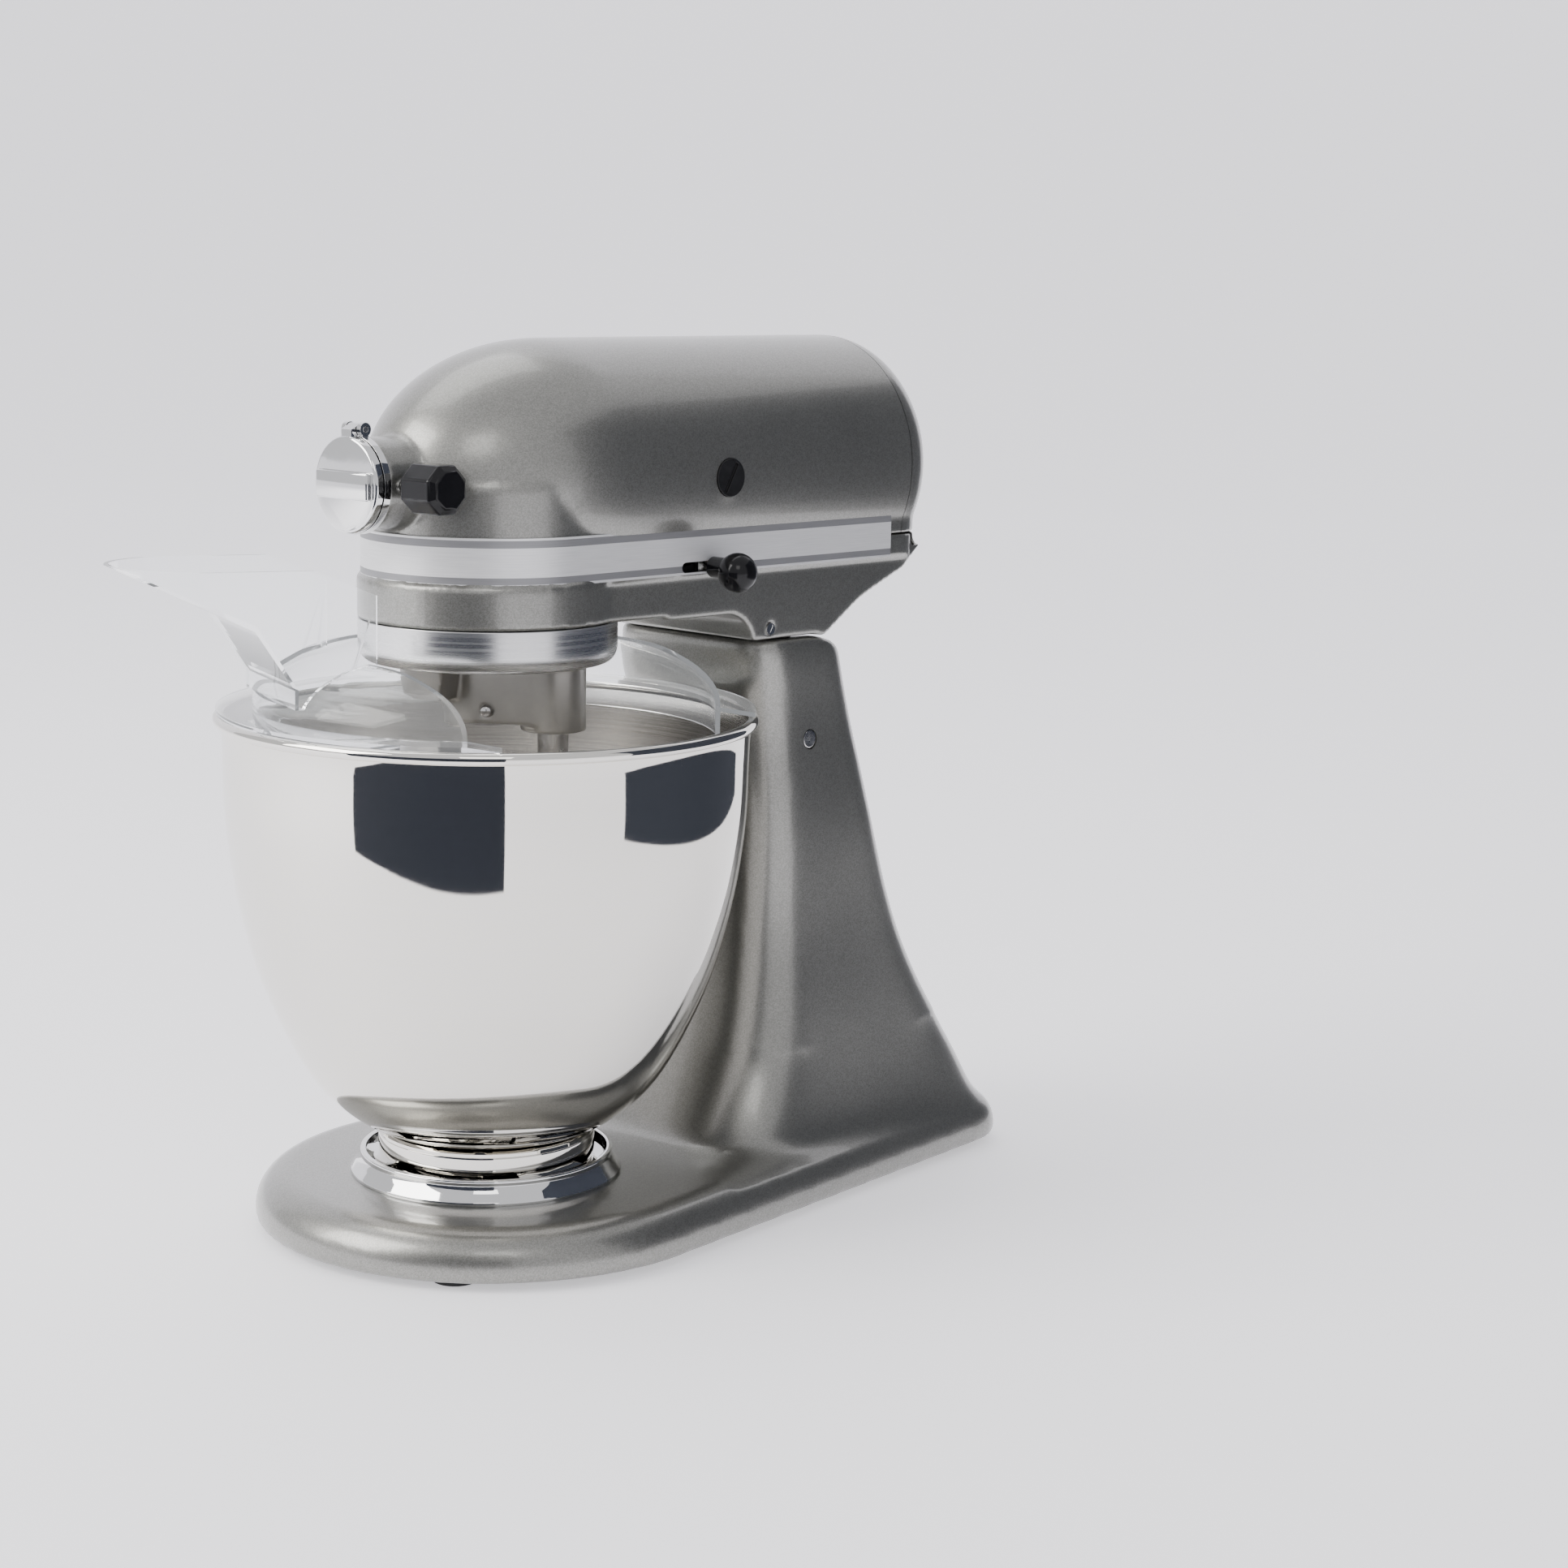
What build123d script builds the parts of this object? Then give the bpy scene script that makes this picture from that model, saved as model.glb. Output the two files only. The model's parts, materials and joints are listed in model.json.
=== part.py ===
from build123d import *
from math import acos, atan2, cos, degrees, hypot, pi, radians, sin, sqrt, tan
import os

# Tilt-head stand mixer, millimetres, +Z up.  The origin is the middle of the
# whole mixer's box, on the worktop.  The attachment hub points to -X, the
# motor's tail to +X.  X values below are measured from the bowl's axis.
os.makedirs("parts", exist_ok=True)

# ---- clearances ----
RUN = 0.05            # radial, shaft in bush
SLACK = 0.3           # between faces that move past each other
BACKLASH = 0.12       # taken off each flank of a tooth

# ---- base and column ----
FOOT_H, PAD_R, POST_H = 3.0, 9.0, 60.0
FEET = [(-58, -48), (-58, 48), (95, -66), (95, 66), (222, 0)]
BASE_TOP = 22.0
BASE_NOSE_X, BASE_NOSE_R = 6.0, 97.0
BASE_TAIL_END, BASE_TAIL_HALF, BASE_CORNER_R = 250.0, 76.0, 30.0
BASE_ROUND = 14.0
BASE_RIM, BASE_WALL = 10.0, 5.0
COLUMN_TOP = 231.0
# height, front x, rear x, half width, corner radius
COLUMN_SECTIONS = [
    (13, 64, 246, 73, 36),
    (26, 77, 243, 69, 34),
    (44, 91, 234, 63.5, 30),
    (70, 102, 217, 58.5, 26),
    (98, 108, 202.5, 54, 23),
    (134, 111.5, 189.5, 51, 20),
    (176, 112.5, 177.5, 48, 18),
    (206, 111, 169, 46.3, 17),
    (COLUMN_TOP, 108, 162.5, 45, 16),
]

# ---- hinge ----
HINGE_X, HINGE_Z = 137.0, 188.0
TONGUE_R, TONGUE_TOP = 18.5, 238.0
WELL_X0, WELL_X1, WELL_Z0, WELL_HALF = HINGE_X - TONGUE_R - 1.0, HINGE_X + 21.0, 150.0, 37.0
HEEL_Z = 216.5        # where the well's rear wall starts to lean back, clear of the tongue's heel
HINGE_R = 4.0
HEAD_TILT = 38.0
EAR_SWEEP_R = 43.0

# ---- head ----
AXIS_Z = 299.5        # armature and hub share this height
HEAD_R = 53.5
HEAD_HALF = 48.5
NOSE_X, NOSE_LENGTH = 27.0, 78.0
SEAM_X, TAIL_LENGTH = 190.0, 31.0
COVER_SCREW_R = 2.2
WALL = 3.0
BAND_Z0, BAND_H, BAND_T, BAND_END_X = 261.8, 18.4, 1.0, 182.0
PART_Z = 271.0        # split between casting and housing, hidden by the band
DRUM_R, DRUM_Z0, FLOOR_T = 51.0, 245.0, 4.0
ARM_HALF, ARM_Z0 = 46.0, 243.5

# ---- motor ----
SHAFT_R = 5.0
CORE_X0, CORE_L, CORE_R, AIR_GAP = 100.0, 50.0, 21.0, 0.7
COMM_X, COMM_L, COMM_R = 80.0, 16.0, 13.0
BEARING_L, BEARING_R = 8.0, 11.0
FRONT_BEARING_X, REAR_BEARING_X = 50.0, 176.0
FAN_X, FAN_L, FAN_R, FAN_BLADES = 161.0, 10.0, 34.0, 9

# ---- gears ----
WORM_STARTS, WORM_TEETH, WORM_MODULE, WORM_R = 2, 24, 1.25, 6.0
WORM_X0, WORM_L, WHEEL_T = 23.0, 20.0, 7.0
WHEEL_HAND = 1       # the way the wheel's teeth lean
PINION_TEETH, CENTRE_TEETH, SPUR_MODULE = 14, 40, 1.4
GEAR_Z0, GEAR_T = 252.0, 9.0
BEVEL_TEETH, HUB_TEETH, BEVEL_MODULE, BEVEL_FACE = 30, 14, 1.8, 8.0
RING_TEETH, PLANET_TEETH, RING_MODULE = 51, 14, 1.5
RING_Z0, RING_T, RING_OUT_R = 235.3, 9.4, 43.5
RING_SCREW_ORBIT, RING_SCREW_R = 41.7, 1.2
PRESSURE = radians(25)

# ---- planetary and beater ----
CENTRE_SHAFT_R = 7.0
PLANET_DISC_R, PLANET_DISC_T = 43.5, 6.0
BOSS_R, BOSS_Z0 = 12.8, 202.0
BEATER_R, BEATER_TIP_Z, BEATER_PIN_Z = 6.1, 157.0, 172.0
SPIGOT_R, SPIGOT_L = 5.9, 12.0  # the shaft's end is turned down where a beater slides on
BEATER_ANGLE = -65.0  # where the beater stands in its orbit at rest
DRIP_Z0 = 228.5

# ---- hub ----
HUB_FACE_X, HUB_RING_X, NECK_R, HUB_BORE_R = -70.8, -64.0, 17.5, 13.0
HUB_RING_R, COVER_R, COVER_T = 18.6, 18.2, 3.4
HUB_SHOULDER_X, HUB_SEAT_R = -43.0, 12.0  # the bore steps down to the bearing's seat
KNOB_X = -56.0

# ---- bowl ----
RIM_R, RIM_Z, BEAD_R, BOWL_T = 106.8, 205.7, 2.4, 1.0
FOOT_R, FOOT_Z0, FOOT_Z1 = 43.0, 24.6, 41.0
LUG_R, LUG_H, LUG_ANGLE = 45.6, 2.4, 18.0
CLAMP_R, CLAMP_TOP = 54.2, 31.0

# ---- shield and chute ----
SHIELD_OUT_R, SHIELD_T = 105.6, 1.8
OPENING_R = 66.0
CHUTE_ANGLE, CHUTE_IN, CHUTE_OUT, CHUTE_HALF = 159.0, 67.0, 150.0, 32.0
CHUTE_TOP = 269.0
CHUTE_T = 1.8

# The box runs from the chute's lip to the base's tail.
CHUTE_LIP_X = (CHUTE_OUT - CHUTE_HALF) * cos(radians(CHUTE_ANGLE)) - CHUTE_HALF
BOWL_X = -(BASE_TAIL_END + CHUTE_LIP_X) / 2

ORBIT = RING_MODULE * (RING_TEETH - PLANET_TEETH) / 2
SPUR_DISTANCE = SPUR_MODULE * (PINION_TEETH + CENTRE_TEETH) / 2
WHEEL_R = WORM_MODULE * WORM_TEETH / 2
WHEEL_Y = WHEEL_R + WORM_R
WHEEL_X = sqrt(SPUR_DISTANCE ** 2 - WHEEL_Y ** 2)
BEATER_X = ORBIT * cos(radians(BEATER_ANGLE))
BEATER_Y = ORBIT * sin(radians(BEATER_ANGLE))


# ---- planes: x counts from the bowl's axis ----
def level(z, x=0.0, y=0.0):
    return Plane(origin=(BOWL_X + x, y, z))


def side(y=0.0):
    """Upright plane along the mixer: sketch x aft, sketch y up, normal to -Y."""
    return Plane(origin=(BOWL_X, y, 0), x_dir=(1, 0, 0), z_dir=(0, -1, 0))


def across(x, y=0.0, z=0.0):
    """Upright plane across the mixer: sketch x is Y, sketch y is Z, normal +X."""
    return Plane(origin=(BOWL_X + x, y, z), x_dir=(0, 1, 0), z_dir=(1, 0, 0))


def lateral(x, y, z, way=-1):
    """Upright plane along the mixer at a point, normal to +Y or -Y."""
    return Plane(origin=(BOWL_X + x, y, z), x_dir=(1, 0, 0), z_dir=(0, way, 0))


BOWL_AXIS = Axis((BOWL_X, 0, 0), (0, 0, 1))
MOTOR_AXIS = Axis((BOWL_X, 0, AXIS_Z), (1, 0, 0))


def save(part, name):
    part.label = name
    export_step(part, f"parts/{name}.step")


def involute(angle):
    return tan(angle) - angle


def gear_outline(teeth, module, thin=BACKLASH, add=0.9, ded=1.15, turn=0.0):
    """Points of an involute gear; thin < 0 gives the cutter of a ring gear."""
    pitch = module * teeth / 2
    base = pitch * cos(PRESSURE)
    tip, root = pitch + add * module, pitch - ded * module
    half_pitch = pi / (2 * teeth) - thin / pitch + involute(PRESSURE)
    low = max(base, root)
    radii = [low + (tip - low) * i / 3 for i in range(4)]
    flank = [(r, half_pitch - involute(acos(min(1.0, base / r)))) for r in radii]
    if root < low:
        flank.insert(0, (root, flank[0][1]))
    points = []
    for k in range(teeth):
        middle = 2 * pi * k / teeth + radians(turn)
        for r, a in flank:
            points.append((r * cos(middle - a), r * sin(middle - a)))
        for r, a in reversed(flank):
            points.append((r * cos(middle + a), r * sin(middle + a)))
    return points


# =====================================================================
# Stand: the part that stays on the worktop
# =====================================================================
def column_section(z, front, rear, half, corner, inset=0.0):
    """One level of the column, drawn in by inset all round."""
    with BuildSketch(level(z, (front + rear) / 2)) as section:
        RectangleRounded(rear - front - 2 * inset, 2 * (half - inset), max(corner - inset, 6))
    return section.sketch


def casting_hollow():
    """Open underside of the base and column, left standing around each foot's screw."""
    with BuildPart(mode=Mode.PRIVATE) as hollow:
        with BuildSketch(level(FOOT_H)):
            with BuildLine():
                CenterArc((BASE_NOSE_X, 0), BASE_NOSE_R - BASE_RIM, 0, 360)
                for way in (-1, 1):
                    CenterArc((BASE_TAIL_END - BASE_CORNER_R, way * (BASE_TAIL_HALF - BASE_CORNER_R)),
                              BASE_CORNER_R - BASE_RIM, 0, 360)
            make_hull()
        extrude(amount=BASE_TOP - FOOT_H - BASE_WALL)
        for sizes in COLUMN_SECTIONS:
            if sizes[0] < WELL_Z0 - BASE_RIM:
                add(column_section(*sizes, inset=BASE_WALL))
        loft()
        with BuildSketch(level(FOOT_H)):
            with Locations(*FEET):
                Circle(PAD_R + 3)
        extrude(amount=POST_H, mode=Mode.SUBTRACT)
    return hollow.part


with BuildPart() as pedestal:
    with BuildSketch(level(FOOT_H)):
        with BuildLine():
            CenterArc((BASE_NOSE_X, 0), BASE_NOSE_R, 0, 360)
            for way in (-1, 1):
                CenterArc((BASE_TAIL_END - BASE_CORNER_R, way * (BASE_TAIL_HALF - BASE_CORNER_R)),
                          BASE_CORNER_R, 0, 360)
        make_hull()
    extrude(amount=BASE_TOP - FOOT_H)
    fillet(pedestal.edges().group_by(Axis.Z)[-1], BASE_ROUND)
    fillet(pedestal.edges().group_by(Axis.Z)[0], 2.5)
    for sizes in COLUMN_SECTIONS:
        add(column_section(*sizes))
    loft()
    add(casting_hollow(), mode=Mode.SUBTRACT)
    # well for the head's tongue, open at the top
    with BuildSketch(level(WELL_Z0, (WELL_X0 + WELL_X1) / 2)):
        RectangleRounded(WELL_X1 - WELL_X0, 2 * WELL_HALF, 1.5)
    extrude(amount=COLUMN_TOP - WELL_Z0 + 5, mode=Mode.SUBTRACT)
    with BuildSketch(side()):
        lean = COLUMN_TOP + 1 - HEEL_Z
        Polygon((WELL_X1 - 1, HEEL_Z), (WELL_X1, HEEL_Z), (WELL_X1 + lean * tan(radians(HEAD_TILT)), HEEL_Z + lean),
                (WELL_X1 - 1, HEEL_Z + lean), align=None)
    extrude(amount=WELL_HALF, both=True, mode=Mode.SUBTRACT)
    # the rear of the well's rim is rounded about the hinge, so the neck swings past it
    with BuildSketch(side()):
        with Locations((HINGE_X + 40, HINGE_Z + 40)):
            Rectangle(80, 80)
        with Locations((HINGE_X, HINGE_Z)):
            Circle(EAR_SWEEP_R, mode=Mode.SUBTRACT)
    extrude(amount=90, both=True, mode=Mode.SUBTRACT)
    with BuildSketch(side()):
        with Locations((HINGE_X, HINGE_Z)):
            Circle(HINGE_R)
    extrude(amount=90, both=True, mode=Mode.SUBTRACT)
save(pedestal.part, "pedestal")

with BuildPart() as rubber_feet:
    for x, y in FEET:
        with BuildSketch(level(0, x, y)):
            Circle(PAD_R)
        extrude(amount=FOOT_H, taper=6)
save(rubber_feet.part, "rubber_feet")

with BuildPart() as hinge_pin:
    with BuildSketch(lateral(HINGE_X, 46.8, HINGE_Z)):
        Circle(HINGE_R)
    extrude(amount=93.6)
    chamfer(hinge_pin.edges(), 0.5)
save(hinge_pin.part, "hinge_pin")

TABS, TAB_ANGLE = 3, 42.0
with BuildPart() as bowl_clamp_plate:
    with BuildSketch(side()):
        with BuildLine():
            Polyline((30, BASE_TOP), (CLAMP_R, BASE_TOP), (CLAMP_R, BASE_TOP + 1.6), (50.4, CLAMP_TOP - 2),
                     (50.4, CLAMP_TOP), (48.4, CLAMP_TOP), (48.4, BASE_TOP + 2), (30, BASE_TOP + 2), close=True)
        make_face()
    revolve(axis=BOWL_AXIS)
    # tabs that hold the bowl's lugs down
    with BuildSketch(level(FOOT_Z0 + LUG_H + SLACK)):
        for k in range(TABS):
            with BuildLine():
                start = 360 / TABS * k + 6
                tab = CenterArc((0, 0), 48.6, start, TAB_ANGLE)
                inner = CenterArc((0, 0), FOOT_R + SLACK, start, TAB_ANGLE)
                Line(tab @ 0, inner @ 0)
                Line(tab @ 1, inner @ 1)
            make_face()
    extrude(amount=2.2)
    with Locations(level(BASE_TOP + 2)):
        with PolarLocations(38, TABS):
            CounterSinkHole(2.1, 4.0, 2.0)
save(bowl_clamp_plate.part, "bowl_clamp_plate")

with BuildPart() as clamp_screws:
    with Locations(level(BASE_TOP)):
        with PolarLocations(38, TABS):
            Cylinder(2.1, 1.2, align=(Align.CENTER, Align.CENTER, Align.MIN))
            with Locations((0, 0, 0.0)):
                Cone(2.1, 3.6, 1.8, align=(Align.CENTER, Align.CENTER, Align.MIN))
save(clamp_screws.part, "clamp_screws")

# =====================================================================
# Bowl: polished shell with a rolled rim, and a foot that locks in the plate
# =====================================================================
BOWL_PROFILE = [(103.2, 192), (102.2, 164), (97.4, 132), (88.0, 99), (72.5, 67), (57.5, 50)]
BOWL_END = ((0, -1), (-1, -0.35))
with BuildPart() as bowl:
    with BuildSketch(side()):
        with BuildLine():
            outer = Spline((RIM_R - BEAD_R, RIM_Z - 1), *BOWL_PROFILE, (40, FOOT_Z1), tangents=BOWL_END)
            within = [(r - BOWL_T, z + 0.3) for r, z in BOWL_PROFILE]
            inner = Spline((RIM_R - BEAD_R - BOWL_T, RIM_Z - 1), *within, (40, FOOT_Z1 + BOWL_T),
                           tangents=BOWL_END)
            Line(outer @ 0, inner @ 0)
            Polyline(outer @ 1, (0, FOOT_Z1 - 0.6), (0, FOOT_Z1 - 0.6 + BOWL_T), inner @ 1)
        make_face()
    revolve(axis=BOWL_AXIS)
    with BuildSketch(side()):
        with Locations((RIM_R - BEAD_R, RIM_Z)):
            Circle(BEAD_R)
    revolve(axis=BOWL_AXIS)
save(bowl.part, "bowl")

with BuildPart() as bowl_foot:
    with BuildSketch(side()):
        with BuildLine():
            Polyline((FOOT_R - 1.4, FOOT_Z0), (FOOT_R, FOOT_Z0), (FOOT_R, FOOT_Z1 - 1.6), (41.5, FOOT_Z1 - 0.9),
                     (36, FOOT_Z1 - 0.9), (36, FOOT_Z1 - 2.2), (FOOT_R - 1.4, FOOT_Z1 - 2.6), close=True)
        make_face()
    revolve(axis=BOWL_AXIS)
    with BuildSketch(level(FOOT_Z0)):
        for k in range(TABS):
            with BuildLine():
                start = 360 / TABS * k + 18
                lug = CenterArc((0, 0), LUG_R, start, LUG_ANGLE)
                seat = CenterArc((0, 0), FOOT_R - 0.7, start, LUG_ANGLE)
                Line(lug @ 0, seat @ 0)
                Line(lug @ 1, seat @ 1)
            make_face()
    extrude(amount=LUG_H)
save(bowl_foot.part, "bowl_foot")

# =====================================================================
# Pouring shield: clear dome ring with a U-shaped opening, and its chute
# =====================================================================
SHIELD_DOME = [(91.5, RIM_Z + 5.5), (90.2, 217), (84, 224.5), (76, 229.5), (60, 233.5)]
with BuildPart() as splash_shield:
    with BuildSketch(side()):
        with BuildLine():
            top = Spline(*SHIELD_DOME, tangents=((0, 1), (-1, 0.12)))
            under = Spline(*[(r - SHIELD_T, z - (0 if k == 0 else 1.0)) for k, (r, z) in enumerate(SHIELD_DOME)],
                           tangents=((0, 1), (-1, 0.12)))
            Line(top @ 1, under @ 1)
            Polyline(under @ 0, (89.7, RIM_Z - 7), (91.5, RIM_Z - 7), (91.5, RIM_Z + 2.7),
                     (SHIELD_OUT_R, RIM_Z + 2.7), (SHIELD_OUT_R, RIM_Z + 2.7 + SHIELD_T),
                     (91.5, RIM_Z + 2.7 + SHIELD_T), top @ 0)
        make_face()
    revolve(axis=BOWL_AXIS)
    # opening for the head: half round at the back, open to the near side
    with BuildSketch(level(RIM_Z - 10)):
        Circle(OPENING_R)
        with Locations((0, -60)):
            Rectangle(2 * OPENING_R, 120)
    extrude(amount=60, mode=Mode.SUBTRACT)
    # gate for what the chute pours in
    with BuildSketch(level(RIM_Z + 11).rotated((0, 0, CHUTE_ANGLE))):
        with Locations((80, 0)):
            Rectangle(60, 2 * CHUTE_HALF - 2 * CHUTE_T)
    extrude(amount=40, mode=Mode.SUBTRACT)
save(splash_shield.part, "splash_shield")

CHUTE_SIDE = Plane(origin=(BOWL_X, 0, 0), x_dir=(cos(radians(CHUTE_ANGLE)), sin(radians(CHUTE_ANGLE)), 0),
                   z_dir=(sin(radians(CHUTE_ANGLE)), -cos(radians(CHUTE_ANGLE)), 0))
CHUTE_BEND = (103, 246.6)
with BuildPart(mode=Mode.PRIVATE) as chute_hollow:
    with BuildSketch(CHUTE_SIDE):
        with BuildLine():
            Polyline((40, 200), (40, 290), (CHUTE_OUT, 290), (CHUTE_OUT, CHUTE_TOP + CHUTE_T / 2),
                     (CHUTE_BEND[0] - 1, CHUTE_BEND[1] + CHUTE_T), (86.2, 224), (86.2, 200), close=True)
        make_face()
    extrude(amount=CHUTE_HALF, both=True)
    with BuildSketch(level(190).rotated((0, 0, CHUTE_ANGLE))):
        with Locations((CHUTE_OUT - CHUTE_HALF, 0)):
            Circle(CHUTE_HALF - CHUTE_T)
            Rectangle(90, 2 * (CHUTE_HALF - CHUTE_T), align=(Align.MAX, Align.CENTER))
    extrude(amount=110, mode=Mode.INTERSECT)
with BuildPart() as pour_chute:
    with BuildSketch(CHUTE_SIDE):
        with BuildLine():
            Polyline((CHUTE_IN - 11, 232), (CHUTE_IN - 11, 258.5), (80, CHUTE_TOP - 0.5), (CHUTE_OUT, CHUTE_TOP),
                     CHUTE_BEND, (88, 224), (88, RIM_Z + 11), (84.5, RIM_Z + 11), (80, 221.7), (70, 228.3),
                     close=True)
        make_face()
    extrude(amount=CHUTE_HALF, both=True)
    with BuildSketch(level(190).rotated((0, 0, CHUTE_ANGLE))):
        with Locations((CHUTE_OUT - CHUTE_HALF, 0)):
            Circle(CHUTE_HALF)
            Rectangle(90, 2 * CHUTE_HALF, align=(Align.MAX, Align.CENTER))
    extrude(amount=110, mode=Mode.INTERSECT)
    add(chute_hollow.part, mode=Mode.SUBTRACT)
    add(splash_shield.part, mode=Mode.SUBTRACT)
save(pour_chute.part, "pour_chute")

# =====================================================================
# Head castings
# =====================================================================
def head_plan(half):
    """Plan outline of the head's sides: round nose, straight flanks, blunt round tail."""
    Circle(half)
    with Locations((SEAM_X / 2, 0)):
        Rectangle(SEAM_X, 2 * half)
    with Locations((SEAM_X, 0)):
        Ellipse(TAIL_LENGTH - 2 - (HEAD_HALF - half), half)


def head_form(inset, bottom):
    """The bullet-shaped head: turned about the motor's axis, with straight flanks below it."""
    with BuildPart(mode=Mode.PRIVATE) as form:
        with BuildSketch(side()):
            with BuildLine():
                nose = EllipticalCenterArc((NOSE_X, AXIS_Z), NOSE_LENGTH - inset, HEAD_R - inset, 90, arc_size=90)
                tail = EllipticalCenterArc((SEAM_X, AXIS_Z), TAIL_LENGTH - inset, HEAD_R - inset, 0, arc_size=90)
                Line(nose @ 0, tail @ 1)
                Line(nose @ 1, tail @ 0)
            make_face()
        revolve(axis=MOTOR_AXIS)
        with BuildSketch(level(bottom)):
            head_plan(HEAD_HALF - inset)
        extrude(amount=AXIS_Z - bottom)
        with BuildSketch(level(bottom - 60, SEAM_X / 2)):
            Rectangle(500, 300)
        extrude(amount=60, mode=Mode.SUBTRACT)
    return form.part


OUTSIDE = head_form(0, PART_Z)
INSIDE = head_form(WALL, PART_Z)


def stretch(x0, x1):
    """A block over one stretch of the head's length, to trim a part with."""
    with BuildPart(mode=Mode.PRIVATE) as block:
        with BuildSketch(across(x0)):
            Rectangle(200, 400, align=(Align.CENTER, Align.MIN))
        extrude(amount=x1 - x0)
    return block.part


LOCK_X, LOCK_TRAVEL, LOCK_Z = 74.0, 14.0, 264.6
SPEED_X, SPEED_TRAVEL, SPEED_Z = 104.0, 46.0, 264.6
STEM_R, SLOT_GAP = 1.8, 0.3


def lever_slots():
    """Cutters through both flanks for the head lock's and the speed lever's stems."""
    with BuildPart(mode=Mode.PRIVATE) as cutters:
        for x, travel, z, way in ((LOCK_X, LOCK_TRAVEL, LOCK_Z, -1), (SPEED_X, SPEED_TRAVEL, SPEED_Z, 1)):
            with BuildSketch(lateral(x - travel / 2, way * (HEAD_HALF - 6), z, way)):
                SlotCenterToCenter(travel + 0.6, 2 * (STEM_R + SLOT_GAP))
            extrude(amount=12)
    return cutters.part


BRUSH_BORE_R = 7.6
with BuildPart() as motor_housing:
    add(OUTSIDE)
    add(stretch(-80, SEAM_X), mode=Mode.INTERSECT)
    add(INSIDE, mode=Mode.SUBTRACT)
    with BuildSketch(across(HUB_RING_X, z=AXIS_Z)):
        Circle(NECK_R)
    extrude(amount=32)
    with BuildSketch(across(HUB_RING_X - 1, z=AXIS_Z)):
        Circle(HUB_BORE_R)
    extrude(amount=HUB_SHOULDER_X - HUB_RING_X + 1, mode=Mode.SUBTRACT)
    with BuildSketch(across(HUB_SHOULDER_X, z=AXIS_Z)):
        Circle(HUB_SEAT_R)
    extrude(amount=18, mode=Mode.SUBTRACT)
    with BuildSketch(lateral(COMM_X, 70, AXIS_Z)):
        Circle(BRUSH_BORE_R)
    extrude(amount=140, mode=Mode.SUBTRACT)
    # threaded hole for the attachment knob's screw
    with BuildSketch(lateral(KNOB_X, 0, AXIS_Z)):
        Circle(2.6)
    extrude(amount=30, mode=Mode.SUBTRACT)
save(motor_housing.part, "motor_housing")

TAIL_STRETCH = stretch(SEAM_X + SLACK, SEAM_X + 2 * TAIL_LENGTH)
with BuildPart() as rear_cover:
    add((OUTSIDE & TAIL_STRETCH) - (INSIDE & TAIL_STRETCH))
    with BuildSketch(across(SEAM_X + TAIL_LENGTH / 2, z=AXIS_Z)):
        Circle(COVER_SCREW_R)
    extrude(amount=TAIL_LENGTH, mode=Mode.SUBTRACT)
save(rear_cover.part, "rear_cover")

with BuildPart() as rear_cover_screw:
    with BuildSketch(across(SEAM_X - 1, z=AXIS_Z)):
        Circle(COVER_SCREW_R)
    extrude(amount=TAIL_LENGTH + 1)
    with BuildSketch(across(SEAM_X + TAIL_LENGTH, z=AXIS_Z)):
        Circle(4.2)
    extrude(amount=1.6)
save(rear_cover_screw.part, "rear_cover_screw")

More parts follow.
